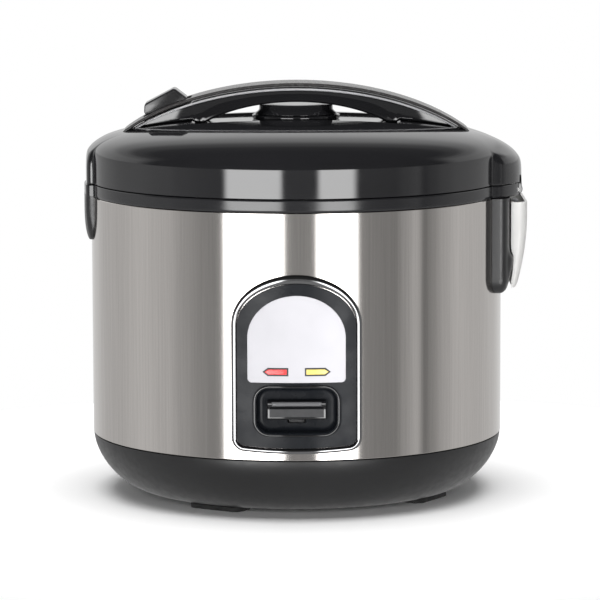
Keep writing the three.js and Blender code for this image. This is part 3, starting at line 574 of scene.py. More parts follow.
def lid_cover():
    outside = lid_rows()
    rim = outside[0].copy()
    edge = rim.copy()
    edge[:, :2] *= 1 - 0.25 / BODY_R
    lifted = rim.copy()
    lifted[:, 2] += 0.25
    rows = [edge, lifted] + outside[1:]
    inside = []
    for row in [rim] + outside[3::3]:
        lower = row.copy()
        lower[:, :2] *= 1 - WALL / np.maximum(np.hypot(row[:, 0], row[:, 1]), 30)[:, None]
        lower[:, 2] = np.maximum(row[:, 2] - WALL * (row[:, 2] > DOME_FOOT), LID_BOTTOM)
        inside.append(lower)
    verts, faces = grid(inside[::-1] + rows)
    count = len(ANGLES)
    verts.append((0, 0, DOME_TOP - WALL))
    verts.append((0, 0, DOME_TOP))
    last = (len(inside) + len(rows) - 1) * count
    faces += [(j, (j + 1) % count, len(verts) - 2) for j in range(count)]
    faces += [(last + j, last + (j + 1) % count, len(verts) - 1) for j in range(count)]
    piece = mesh_piece("lid_cover_shell", verts, faces, GLOSS, "lid", "lid_gloss", ["lid_cover"], 40)
    channel = [(x, float(dome(x)) - 2.0) for x in np.linspace(-CHANNEL_HALF, CHANNEL_HALF, 45)]
    channel += [(CHANNEL_HALF, 270), (-CHANNEL_HALF, 270)]
    carve(piece, *prism(channel, -34.5, 34.5), 40)
    carve(piece, *lathe([(12.6, 225), (12.6, 260), (0, 260), (0, 225)], 64), 40)


def knuckle(y0, y1):
    barrel = [(PIVOT_X + 4 * math.cos(a), PIVOT_Z + 4 * math.sin(a))
              for a in np.radians(np.arange(90, 450, 12))]
    barrel = [p for p in barrel if not (p[1] > PIVOT_Z + 0.5 and abs(p[0] - PIVOT_X) < 3.4)]
    neck = [(PIVOT_X + 3.2, PIVOT_Z + 9), (PIVOT_X - 3.2, PIVOT_Z + 9)]
    ordered = sorted(barrel, key=lambda p: -math.atan2(p[0] - PIVOT_X, -(p[1] - PIVOT_Z)))
    return prism(ordered + neck[::-1], y0, y1)


def lid_knuckles():
    verts, faces = joined(knuckle(-16.8, -9), knuckle(9, 16.8))
    piece = mesh_piece("lid_knuckles", verts, faces, GLOSS, "lid", "lid_gloss")
    bevel(piece, 0.5, 2)


# ---------------- upper ring with its latch leg


def ring_point_rows(profile, reach_latch, reach_hinge):
    """Rows for the ring: a profile point is (inset, z) from the plan outline, or ("r", radius, z)."""
    plan = plan_radius(reach_latch, reach_hinge)
    cos, sin = np.cos(ANGLES), np.sin(ANGLES)
    rows = []
    for point in profile:
        radius = np.full(len(ANGLES), point[1]) if point[0] == "r" else plan - point[0]
        z = point[-1]
        x, y = radius * cos, radius * sin
        if point[0] != "r":
            room = 4.4 ** 2 - max(z - PIVOT_Z, 0) ** 2
            x = np.minimum(x, PIVOT_X + math.sqrt(max(room, 0)) - 0.1)
            notch = (np.abs(y) < 17.6) & (x > 0)
            x = np.where(notch, np.minimum(x, PIVOT_X - 4.8), x)
        rows.append(np.stack([x, y, np.full(len(ANGLES), z)], 1))
    return rows


def upper_ring():
    top, low = RING_TOP, RING_BOTTOM
    outer = [(1.0, low), (0.3, low + 0.1), (0.0, low + 0.5), (0.0, 192.5), (0.0, PIVOT_Z), (0.0, 195.2),
             (0.0, 196.2), (0.0, 197.0), (0.0, top - 0.5), (0.15, top - 0.15), (0.5, top)]
    inner = [("r", 121.6, top), ("r", 121.25, top - 0.15), ("r", 121.2, top - 0.5), ("r", 121.2, 195.7),
             ("r", 114.0, 195.7), ("r", 113.6, 195.3), ("r", 113.6, 184), ("r", 115.1, 184),
             ("r", 115.1, 193.7), ("r", 128.4, 193.7), ("r", 128.4, low)]
    rows = ring_point_rows(outer + inner, LATCH_REACH, HINGE_REACH - 1.0)
    verts, faces = grid(rows, close_rows=True)
    mesh_piece("ring", verts, faces, RING_BLACK, "cooker_body", "ring_black", ["upper_ring"], 40)
    leg = leg_solid(latch_leg_face, LATCH_HALF, 162.4, low + 1.4, 11)
    mesh_piece("latch_leg", *leg, LEG_BLACK, "cooker_body", "ring_black", (), 40)


def edge_round(inside, radius):
    """0 at an edge, 1 from radius inside it, as a quarter circle."""
    t = np.clip(inside / radius, 0, 1)
    return np.sqrt(np.clip(1 - (1 - t) ** 2, 0, 1))


def latch_leg_face(y, up, low, high):
    """The leg's outer x: it thins towards its lower end, with rounded sides."""
    z = low + up * (high - low)
    taper = 0.25 + 0.75 * edge_round(z - low, 19.0)
    side = edge_round(LATCH_HALF - np.abs(y), 3.0)
    swell = (LATCH_REACH - BODY_R) * taper * side
    return -np.sqrt((BODY_R + swell + 0.02) ** 2 - y ** 2), z


def leg_solid(face, half, low, high, corner):
    """A closed pad on the body's side: face() gives its outer x and its z over y and height."""
    side = -1 if face is latch_leg_face else 1
    share = np.linspace(-1, 1, 61)
    ys = half * np.sign(share) * (1 - (1 - np.abs(share)) ** 1.8)
    rows = []
    drop = np.sqrt(np.clip(corner ** 2 - np.clip(np.abs(ys) - (half - corner), 0, corner) ** 2, 0, None))
    bottom = low + corner - drop
    skin = side * np.sqrt((BODY_R + 0.1) ** 2 - ys ** 2)
    for up in np.linspace(0, 1, 46) ** 1.5:
        x, z = face(ys, up, bottom, high)
        rows.append(np.stack([x, ys, z], 1))
    back = [np.stack([skin, ys, bottom + up * (high - bottom)], 1) for up in (1.0, 0.0)]
    verts, faces = grid(rows + back, close_rows=True, close_columns=False)
    count, last = len(ys), len(ys) - 1
    total = len(rows) + 2
    for column in (0, last):
        faces.append(tuple(i * count + column for i in range(total)))
    return verts, faces


HOUSING_FACE = 135.5


def housing_reach(z):
    """Side view of the hinge housing: straight face, lobe, tapered foot."""
    zs = [129.5, 130.2, 132.0, 136.0, 142.0, 147.5, 151.0, 153.2, 155.2, 158.0, 191.0]
    xs = [131.0, 132.4, 133.6, 134.9, 136.9, 138.3, 138.8, 138.2, 136.4, 135.6, 135.5]
    return np.interp(z, zs, xs)


def housing_face(y, up, low, high):
    z = low + up * (high - low)
    skin = np.sqrt(BODY_R ** 2 - y ** 2)
    rim = math.sqrt(BODY_R ** 2 - HINGE_HALF ** 2)
    side = superellipse(y / HINGE_HALF, 5.0)
    lobe = np.maximum(housing_reach(z) - HOUSING_FACE, 0) * superellipse(y / 40, 4.0)
    reach = np.minimum(housing_reach(z), HOUSING_FACE) + lobe
    foot = edge_round(z - low, 4.0)
    return np.maximum(rim + (reach - rim) * side * (0.75 + 0.25 * foot), skin + 0.15), z


def hinge_housing():
    solid = leg_solid(housing_face, HINGE_HALF - 0.1, HOUSING_LOW.z, SHELL_HIGH.z, 9)
    mesh_piece("hinge_housing_leg", *solid, LEG_BLACK, "cooker_body", "housing_black", ["hinge_housing"], 40)


# ---------------- dew collector


def cup_loft(half, outline_of, ends):
    """A solid whose section in x and z changes with y."""
    ys = np.concatenate([-half + ends, np.linspace(-half + ends[-1], half - ends[-1], 15)[1:-1],
                         (half - ends)[::-1]])
    rows = [np.array([(x, y, z) for x, z in outline_of(half - abs(y))]) for y in ys]
    return capped(rows)


def cup_outline(inset):
    """The collector's side view: flat inner wall, hollow for the lobe, bowed outer wall."""
    face = CUP_LOW.x + inset
    top = CUP_HIGH.z + (6 if inset > 0.9 else 0)
    reach = CUP_HIGH.x - inset
    inner = [(face, top), (face, 160), (face + 0.2, 157.6), (face + 1.2, 155.6), (face + 2.6, 154.0),
             (139.5 + inset * 0.9, 152.2 + inset * 0.4), (139.1 + inset, 147.5), (137.9 + inset, 142),
             (136.3 + inset * 1.3, 137.2 + inset * 0.8), (136.2 + inset, 134 + inset)]
    foot = [(136.6 + inset, 132.9 + inset), (137.6, 132.5 + inset), (138.9 - inset * 0.2, 132.8 + inset)]
    heights = np.linspace(135.5 + inset, top, 16)
    rise = np.clip((heights - 132.7) / 46, 0, 1)
    outer = [(139.2 - inset * 0.6 + (reach - 139.2 + inset * 0.6) * math.sin(math.pi / 2 * t) ** 0.8, z)
             for t, z in zip(rise, heights)]
    return inner + foot + outer


def cup_section(inset):
    def section(from_end):
        squeeze = 1.0 - 0.55 * (1 - float(edge_round(np.array(from_end), 6.0)))
        points = cup_outline(inset)
        face = CUP_LOW.x + inset
        return [(face + (x - face) * squeeze, z) for x, z in points]
    return section


def dew_collector():
    half = CUP_HIGH.y
    ends = np.array([0, 0.3, 0.9, 1.8, 3.0, 4.5, 6.0])
    verts, faces = cup_loft(half, cup_section(0.0), ends)
    piece = mesh_piece("collector_cup", verts, faces, CLEAR, "dew_collector", "clear_plastic",
                       ["dew_collector"], 40)
    inner = cup_loft(half - 1.5, cup_section(1.5), ends)
    carve(piece, *inner, 40)
    carve(piece, *cuboid((130, 139), (-8, 8), (171.5, 200)), 40)


# ---------------- steel body, base and feet


def outer_shell():
    r, low, high = BODY_R, SHELL_LOW.z, SHELL_HIGH.z
    profile = [(r - 0.8, low + 0.3), (r - 0.6, low), (r - 0.25, low), (r, low + 0.3), (r, high - 0.3),
               (r - 0.25, high), (r - 0.6, high), (r - 0.8, high - 0.3)]
    piece = mesh_piece("steel_shell", *lathe(profile, 256), STEEL, "cooker_body", "brushed_shell",
                       ["outer_shell"])
    inlet_low, inlet_high = box_mm("power_inlet")
    front = cuboid((-29, 29), (-200, 0), (52, 132))
    rear = cuboid((inlet_low.x - GAP, inlet_high.x + GAP), (0, 200), (inlet_low.z - GAP, inlet_high.z + GAP))
    carve(piece, *joined(front, rear))


def bowl_radius(z):
    """The base bowl: a superellipse from the steel down to the flat bottom."""
    return 96 + (BODY_R - 0.3 - 96) * superellipse((BASE_HIGH.z - z) / 36.3, 1.7)


def base_cover():
    drop = BASE_HIGH.z - BASE_LOW.z
    zs = [BASE_HIGH.z - 0.5 - (drop - 1.0) * math.sin(math.pi / 2 * t) for t in np.linspace(0, 1, 34)]
    outer = [(float(bowl_radius(z)), z) for z in zs]
    bottom_r = outer[-1][0]
    profile = [(BODY_R - 1.1, BASE_HIGH.z - 0.12), (BODY_R - 0.7, BASE_HIGH.z - 0.2)] + outer
    profile += arc(bottom_r - 3.2, BASE_LOW.z + 2.2, 2.2, -60, -90, 4)
    inner = [(r - WALL, max(z, BASE_LOW.z + WALL)) for r, z in outer[::-3]]
    rings = [(80, BASE_LOW.z), (76, BASE_LOW.z), (75.4, BASE_LOW.z + 0.6), (36, BASE_LOW.z + 0.6),
             (35.4, BASE_LOW.z), (0.0, BASE_LOW.z), (0.0, BASE_LOW.z + WALL)]
    profile += rings + inner + [(BODY_R - 3, BASE_HIGH.z - 0.12)]
    piece = mesh_piece("base_bowl", *lathe(profile, 192), BASE_GREY, "cooker_body", "base_grey",
                       ["base_cover"])
    slots = []
    for i in range(6):
        for step in (-7, 0, 7):
            corners = [(38, step - 1.4), (60, step - 1.4), (60, step + 1.4), (38, step + 1.4)]
            slots.append(prism(spun(corners, 60 * i + 15), 0, BASE_LOW.z + WALL + 2, "z"))
    for angle in (90, 210, 330):
        x, y = 78 * math.cos(math.radians(angle)), 78 * math.sin(math.radians(angle))
        slots.append(prism([(x + 3.4 * math.cos(a), y + 3.4 * math.sin(a))
                            for a in np.linspace(0, 2 * math.pi, 24, endpoint=False)], 0, 9, "z"))
    carve(piece, *joined(*slots))


def feet():
    for i, angle in enumerate((-121, -31, 59, 149), 1):
        top = BASE_LOW.z - 0.25
        rings = [(0.7, 0.0), (0.2, 0.15), (0.0, 0.6), (0.0, top)]
        rows = []
        for inset, z in rings:
            outline = rounded(83.5 + inset, 102 - inset, -19 + inset, 19 - inset, 6 - inset, 8)
            rows.append([(x, y, z) for x, y in spun(outline, angle)])
        mesh_piece(f"rubber_foot_{i}", *capped(rows), RUBBER, "cooker_body", "rubber", [f"foot_{i}"])


# ---------------- front panel


def arch(half, low, spring, top, corner, bow, steps=26):
    """The panel's outline, anticlockwise from the right end of its arch."""
    turn = np.linspace(0, math.pi, 2 * steps)
    points = [(half * math.cos(a), spring + (top - spring) * math.sin(a)) for a in turn]
    side = np.linspace(spring, low + corner + bow, 8)[1:-1]
    points += [(-half, z) for z in side]
    points += arc(-half + corner, low + corner + bow, corner, 180, 270, 8)
    across = np.linspace(-half + corner, half - corner, 24)[1:-1]
    points += [(x, low + bow - 2 * bow * (1 - (x / (half - corner)) ** 2)) for x in across]
    points += arc(half - corner, low + corner + bow, corner, 270, 360, 8)
    points += [(half, z) for z in side[::-1]]
    return np.array(points)


def outward_normals(points):
    ahead, behind = np.roll(points, -1, 0), np.roll(points, 1, 0)
    along = ahead - behind
    normal = np.stack([along[:, 1], -along[:, 0]], 1)
    return normal / np.linalg.norm(normal, axis=1)[:, None]


def on_front(points, radius):
    """(x, z) points moved back onto a cylinder round the body's axis."""
    points = np.asarray(points)
    y = -np.sqrt(radius ** 2 - points[:, 0] ** 2)
    return np.stack([points[:, 0], y, points[:, 1]], 1)


def swept_frame(outline, section):
    """A section of (outward offset, radius) points swept round an outline on the front."""
    normal = outward_normals(outline)
    return grid([on_front(outline + normal * offset, radius) for offset, radius in section], close_rows=True)


def filled(outline, centre, radius, edge, rings=10, thick=0.6):
    """A thin plate on the front: rounded edge, filled towards a centre, closed behind."""
    normal = outward_normals(outline)
    centre = np.array(centre)
    rows = [on_front(outline, radius - thick), on_front(outline, radius - edge)]
    rows += [on_front(outline - normal * edge * (1 - math.cos(a)), radius - edge * (1 - math.sin(a)))
             for a in np.radians([30, 60, 90])]
    inner = outline - normal * edge
    rows += [on_front(centre + (inner - centre) * s, radius) for s in np.linspace(1, 0.04, rings)[1:]]
    verts, faces = grid(rows)
    count = len(outline)
    start = (len(rows) - 1) * count
    faces.append(tuple(range(start, start + count)))
    return verts, faces


def resampled(outline, centre, count=120):
    """The outline's points at even directions seen from a centre."""
    centre = np.array(centre)
    ahead = np.roll(outline, -1, 0)
    outline = np.concatenate([outline + (ahead - outline) * t for t in np.linspace(0, 1, 24, endpoint=False)])
    offset = outline - centre
    turn = np.linspace(0, 2 * math.pi, count, endpoint=False)
    reach = np.interp(turn, np.arctan2(offset[:, 1], offset[:, 0]), np.hypot(*offset.T), period=2 * math.pi)
    return centre + np.stack([reach * np.cos(turn), reach * np.sin(turn)], 1)


SWITCH = {"half": 24.5, "low": 55.7, "high": 82.8, "corner": 8.0, "floor": -124.0}
SWITCH_CENTRE = (0.0, 69.0)


def panel_plate():
    s = SWITCH
    outer = resampled(arch(36.5, 46.9, 121, 147.3, 5, 0.6), SWITCH_CENTRE, 240)
    mouth = resampled(np.array(rounded(-s["half"], s["half"], s["low"], s["high"], s["corner"], 10)),
                      SWITCH_CENTRE, 240)
    centre = np.array(SWITCH_CENTRE)

    def loop(grow):
        away = mouth - centre
        return mouth + away / np.linalg.norm(away, axis=1)[:, None] * grow

    rows = [on_front(outer, PLATE_R - 1.2)]
    lip = loop(2.6)
    rows += [on_front(outer + (lip - outer) * t, PLATE_R) for t in np.linspace(0, 1, 12)]
    rows += [on_front(loop(1.7), PLATE_R + 0.25), on_front(loop(1.0), PLATE_R + 0.38),
             on_front(loop(0.4), PLATE_R + 0.15), on_front(loop(0.05), PLATE_R - 0.6)]
    depth_rows = [(0.0, -130.4), (-0.1, -127.5), (-0.4, -125.6), (-1.2, -124.6), (-2.6, -124.1),
                  (-4.0, s["floor"])]
    for grow, y in depth_rows:
        flat = loop(grow)
        rows.append(np.stack([flat[:, 0], np.full(len(flat), y), flat[:, 1]], 1))
    slot = resampled(np.array(rounded(-5.8, 5.8, 60.8, 74.4, 1.0, 4)), SWITCH_CENTRE, 240)
    for y in (s["floor"], s["floor"] + 0.6):
        rows.append(np.stack([slot[:, 0], np.full(len(slot), y), slot[:, 1]], 1))
    verts, faces = grid(rows)
    mesh_piece("panel_face", verts, faces, PANEL_BLACK, "cooker_body", "panel_gloss", ["panel_plate"], 50)
    section = [(1.5 + 0.75 * math.cos(a), PLATE_R + 0.1 + 0.6 * math.sin(a))
               for a in np.linspace(0, 2 * math.pi, 12, endpoint=False)]
    verts, faces = swept_frame(mouth, section)
    mesh_piece("recess_lip", verts, faces, GLOSS, "cooker_body", "panel_gloss", (), 60)


def bezel():
    outline = arch(38.35, 45.0, 121.8, 150.1, 6.5, 0.65, 40)
    half, foot = 1.65, BODY_R + 0.25
    turn = np.radians(np.linspace(-40, 220, 15)[2:-2])
    crown = [(half * math.cos(a), 132.0 + 1.4 * math.sin(a)) for a in turn]
    section = [(half, foot)] + crown + [(-half, foot)]
    verts, faces = swept_arch(outline, section)
    mesh_piece("chrome_bezel", verts, faces, CHROME, "cooker_body", "chrome_trim", ["control_bezel"], 60)


def swept_arch(outline, section):
    """Like swept_frame, but wider over the arch, where the frame leans outward."""
    normal = outward_normals(outline)
    lift = np.clip((outline[:, 1] - 121.8) / (150.1 - 121.8), 0, 1) * np.clip(normal[:, 1], 0, 1)
    rows = []
    for offset, radius in section:
        spread = offset * (1 + 0.62 * lift)
        rows.append(on_front(outline + normal * spread[:, None], radius))
    return grid(rows, close_rows=True)


def label_plate():
    outline = arch(30, LABEL_LOW.z, 114.0, LABEL_HIGH.z, 2.6, 0.0, 30)
    verts, faces = filled(outline, (0, 108), LABEL_R, 0.25)
    mesh_piece("label_film", verts, faces, LABEL, "cooker_body", "label_silver", ["label_plate"], 50)


def arrow(side, grow):
    """The outline of a lamp: a bar with one pointed end."""
    near, far, neck, half = 5.9 - grow, 19.7 + grow * 1.3, 17.2 + grow * 0.5, 1.65 + grow
    corners = [(near, -half), (neck, -half), (far, 0.0), (neck, half), (near, half)]
    points = []
    for (x0, z0), (x1, z1) in zip(corners, corners[1:] + corners[:1]):
        points += [(x0 + (x1 - x0) * t, z0 + (z1 - z0) * t) for t in np.linspace(0, 1, 5, endpoint=False)]
    points = [(side * x, LAMP_Z + z) for x, z in points]
    return np.array(points if side > 0 else points[::-1])


def lamps():
    for side, name, look, slot, node in ((-1, "red", RED, "red_lamp", "red_lens"),
                                         (1, "yellow", YELLOW, "yellow_lamp", "yellow_lens")):
        centre = (side * 12.5, LAMP_Z)
        verts, faces = filled(arrow(side, 0.9), centre, LABEL_R + 0.12, 0.08, 3, 0.4)
        mesh_piece(f"{name}_lamp_frame", verts, faces, OUTLINE, "cooker_body", "panel_gloss", (), 50)
        verts, faces = filled(arrow(side, -0.1), centre, LABEL_R + 0.42, 0.25, 4, 0.7)
        mesh_piece(f"{name}_lamp", verts, faces, look, "cooker_body", slot, [node], 50)


def cook_lever():
    """The key in the recess: a rib along its top, lighter grey as a painted highlight, a plain sloping face
    below, on the arm behind.
    """
    side = arc(-127.9, 73.4, 1.9, 60, 200, 8)
    face = [(-128.4, 71.3), (-127.9, 70.6), (-127.6, 69.6), (-128.3, 64.6), (-128.0, 63.5)]
    back = [(-125.3, 63.2), (-124.7, 63.8), (-124.7, 74.6), (-125.6, 75.6)]
    outline = side + face + back
    verts, faces = prism([(y, z) for y, z in outline], -18, 18, "x")
    key = mesh_piece("lever_key", verts, faces, GLOSS, "cook_lever", "lever_gloss", ["cook_lever"], 50)
    bevel(key, 0.5, 3, 50)
    # The rib's lighter grey is a painted highlight.
    rib = bar(stations(15.2, 9), lambda x: 74.6, lambda x: 71.9,
              lambda x: 1.3 * float(edge_round(np.array(15.2 - abs(x)), 1.3)) + 0.2, 1.2)
    verts = [(x, y - 129.0, z) for x, y, z in rib[0]]
    mesh_piece("lever_rib_painted_highlight", verts, rib[1], RIB_PAINTED_HIGHLIGHT, "cook_lever", "lever_gloss", (), 50)
    grip = prism([(-128.5, 70.2), (-128.75, 69.9), (-128.95, 65.2), (-128.6, 64.9)], -16.6, 16.6, "x")
    mesh_piece("lever_grip_face", *grip, GRIP_FACE, "cook_lever", "lever_gloss", (), 30)
    arm = joined(cuboid((-5, 5), (-125.2, -118.4), (66, 73)),
                 cuboid((-4.98, 4.98), (-121, -118.5), (24, 72.9)),
                 cuboid((-4.96, 4.96), (-120.9, 7), (24.05, 28)))
    piece = mesh_piece("lever_arm", *arm, DARK, "cook_lever", "lever_gloss")
    bevel(piece, 0.4, 2)


# ---------------- handle


def top_line(x):
    return HANDLE_TOP - 0.3 - 72 * (1 - np.sqrt(1 - (np.asarray(x) / 135) ** 2))


def under_line(x):
    return 249.6 - 36 * (1 - np.sqrt(np.clip(1 - (np.asarray(x) / 75) ** 2, 0, 1)))


def lid_top(x, y):
    """Height of the lid's outside over a point near the handle."""
    low, high = np.full(np.shape(x), 200.0), np.full(np.shape(x), 245.0)
    return halved(low, high, 30, lambda z: lid_distance(x, y, z) > 0)


def bar(places, top, bottom, half_depth, radius, lean=0.0):
    """A bar along x with rounded edges; top, bottom and depth are functions of x.

    Its front and back lean inward by `lean` from a third of the way up."""
    rows = []
    for x in places:
        high, low, half = float(top(x)), float(bottom(x)), float(half_depth(x))
        r = max(0.05, min(radius, (high - low) / 2 - 0.05, half - 0.1))
        section = rounded(-half, half, low, high, r, 5)
        slope = [lean * max(0.0, (v - low) / (high - low) - 0.3) / 0.7 for u, v in section]
        rows.append([(x, u * (1 - back / half), v) for (u, v), back in zip(section, slope)])
    return capped(rows)


def stations(half, middle):
    """Places along x for bar(), closer together at the two ends."""
    ends = half - np.array([0, 0.15, 0.5, 1.1, 2.0, 3.2])
    inner = np.linspace(-ends[-1], ends[-1], middle)[1:-1]
    return np.concatenate([-ends, inner, ends[::-1]])


def resting(x):
    """Height of the lid's outside under the handle's front edge."""
    return float(lid_top(np.array(x, float), np.array(12.0)))


def handle_cover():
    end = -COVER_LOW.x

    def half_depth(x):
        tip = edge_round(np.array(end - abs(x)), 3.2)
        return 17.0 - 1.2 * (1 - tip)

    def bottom(x):
        thin = top_line(x) - 2.1
        if abs(x) < 104:
            return thin
        blend = min(1.0, (abs(x) - 104) / 2.0)
        return thin + (min(thin, resting(x) + 0.4) - thin) * blend

    def top(x):
        tip = edge_round(np.array(end - abs(x)), 2.6)
        return max(top_line(x) - 0.9 * (1 - tip), bottom(x) + 0.3)

    verts, faces = bar(stations(end, 91), top, bottom, half_depth, 0.9)
    piece = mesh_piece("handle_top_cover", verts, faces, SATIN, "lid", "cover_satin", ["handle_cover"], 40)
    carve(piece, *cuboid(BUTTON_WELL, BUTTON_WELL_DEPTH, (225, 270)), 40)


def foot_line(x):
    """Where the grip meets the lid: on its surface, or down in the channel."""
    sink = 1.8 if abs(x) < CHANNEL_HALF - 0.6 else 0.0
    return resting(x) + 0.3 - sink


def handle_grip():
    """The grip: a body on the lid, a leaf-shaped trim round it and a bead under the cover, whose light grey
    is a painted highlight.
    """
    def trim_top(x):
        return top_line(x) - 3.2

    def trim_bottom(x):
        if abs(x) >= 60:
            return min(trim_top(x) - 0.3, foot_line(x))
        return min(under_line(x) + 2.2, trim_top(x) - 2.0)

    well = [(BUTTON_WELL[0], 262), (BUTTON_WELL[0], 236.2), (-95.5, 235.4), (-67.6, 241.8),
            (BUTTON_WELL[1], 243), (BUTTON_WELL[1], 262)]
    trim = bar(stations(103.4, 61), trim_top, trim_bottom,
               lambda x: 15.6 - 0.004 * max(abs(x) - 70, 0) ** 2, 0.9)
    piece = mesh_piece("handle_trim", *trim, GLOSS, "lid", "grip_gloss", (), 40)
    carve(piece, *prism(well, *BUTTON_WELL_DEPTH), 40)
    # The bead's light grey is a painted highlight along the top of the trim.
    bead = bar(stations(102.6, 61), lambda x: top_line(x) - 3.3, lambda x: top_line(x) - 4.8,
               lambda x: 16.3 - 0.004 * max(abs(x) - 70, 0) ** 2, 0.7)
    piece = mesh_piece("handle_bead_painted_highlight", *bead, BEAD_PAINTED_HIGHLIGHT, "lid", "grip_gloss", (), 40)
    carve(piece, *prism(well, *BUTTON_WELL_DEPTH), 40)

    def body_top(x):
        tip = edge_round(np.array(94 - abs(x)), 4)
        return 256.6 - 52 * (1 - np.sqrt(1 - (x / 113) ** 2)) - 1.4 * (1 - tip)

    def body_bottom(x):
        if abs(x) >= 61:
            return min(body_top(x) - 0.3, foot_line(x))
        return under_line(x)

    body = bar(stations(94, 81), body_top, body_bottom,
               lambda x: 17.4 - 0.0022 * max(abs(x) - 45, 0) ** 2, 1.6, 2.8)
    piece = mesh_piece("handle_body", *body, GLOSS, "lid", "grip_gloss", ["handle_grip"], 40)
    carve(piece, *prism(well, *BUTTON_WELL_DEPTH), 40)


def release_button():
    side = [(-96.7, 242.6), (-96.5, 247.4), (-95.7, 248.5), (-78.4, 257.7), (-77.0, 257.8), (-69.4, 252.0),
            (-69.7, 246.9), (-95.6, 241.2)]
    piece = mesh_piece("button_cap", *prism(side, -9.9, 9.9), BUTTON_BLACK, "release_button", "cover_satin",
                       ["release_button"], 40)
    bevel(piece, 1.1, 4, 30)


# ---------------- steam vent


def steam_vent():
    floor = VENT_LOW.z
    deck = DOME_TOP - 2.0 + 0.2
    base = [(10.5, floor), (12.2, floor), (12.2, deck)] + arc(27.4, deck + 0.6, 0.6, -90, 0, 4)
    base += arc(27.2, 240.2, 0.8, 0, 90, 5) + [(10.5, 241)]
    mesh_piece("vent_base", *lathe(base, 128), GLOSS, "lid", "vent_gloss", ["steam_vent_base"])
    low, top = CAP_LOW.z, CAP_HIGH.z
    cap = [(21.6, low), (25.9, low)] + arc(25.9, low + 0.4, 0.4, -90, 30, 4)
    cap += [(24.6, low + 1.7), (23.9, low + 2.4), (23.55, low + 3.1)] + arc(22.6, top - 0.9, 0.9, 0, 90, 5)
    cap += [(14, top), (0.01, top), (0.01, top - 1.8), (21.6, top - 1.8)]
    piece = mesh_piece("vent_cap", *lathe(cap, 128), GLOSS, "lid", "vent_gloss", ["steam_vent_cap"])
    corners = [(18, -1.4), (26, -1.4), (26, 1.4), (18, 1.4)]
    slots = [prism(spun(corners, angle), low + 1.9, low + 3.9, "z") for angle in (50, 70, 90, 110, 130)]
    carve(piece, *joined(*slots))


# ---------------- what shows when the lid is open


def inner_pot():
    low, top = POT_LOW.z, POT_HIGH.z
    r, wall = 112.5, 1.8
    outer = [(0.0, low)] + arc(r - 12, low + 12, 12, -90, 0, 10) + [(r, 195.4), (r + 0.6, 196)]
    rim = [(119.2, 196)] + arc(119.2, 196.6, 0.6, -90, 0, 3) + arc(119.0, top - 0.8, 0.8, 0, 90, 4)
    lip = arc(r - wall + 1.4, top - 1.4, 1.4, 90, 180, 5)
    marks = []
    for z in np.arange(168, 96, -12):
        marks += [(r - wall, z + 0.5), (r - wall - 0.25, z + 0.25), (r - wall - 0.25, z - 0.25),
                  (r - wall, z - 0.5)]
    inner = marks + arc(r - wall - 10.2, low + wall + 10.2, 10.2, 0, -90, 10) + [(0.0, low + wall)]
    mesh_piece("cooking_pot", *lathe(outer + rim + lip + inner, 160), COAT, "cooker_body", "pot_metal",
               ["inner_pot"])


def lid_gasket():
    low, high = 197.9, 199.9
    section = arc(117.6, 198.9, 1.0, -90, 90, 6) + [(114.6, high), (114.2, high - 0.5), (113.8, high)]
    section += [(111.3, high), (111.3, low), (113.8, low), (114.2, low + 0.5), (114.6, low)]
    mesh_piece("lid_seal", *lathe(section, 160), SILICONE, "lid", "silicone", ["lid_gasket"])


# ---------------- floor, light and camera


FLOOR_R = 0.385           # metres


def studio_floor():
    """A pale disc that takes the shadows; nothing mirrors it."""
    data = bpy.data.meshes.new("floor")
    turn = np.linspace(0, 2 * math.pi, 96, endpoint=False)
    rim = [(FLOOR_R * math.cos(a), FLOOR_R * math.sin(a), 0) for a in turn]
    data.from_pydata(rim, [], [tuple(range(len(rim)))])
    floor = linked("floor", data)
    made = Shader("floor_white", (0.93, 0.93, 0.93), 0.6)
    made.vary_color(made.noise(3, 2), 0.995, 1.0)
    data.materials.append(made.material)
    floor.visible_glossy = False


BOX = 11.0                # brightness of the two bands


def soft_light(name, place, aim, width, height, energy):
    """A broad light for the floor and the satin parts; it makes no reflection of its own."""
    data = bpy.data.lights.new(name, "AREA")
    data.shape = "RECTANGLE"
    data.size = width
    data.size_y = height
    data.energy = energy
    light = linked(name, data)
    light.location = place
    light.rotation_euler = (Vector(aim) - Vector(place)).to_track_quat("-Z", "Y").to_euler()
    light.visible_glossy = False
    light.visible_camera = False


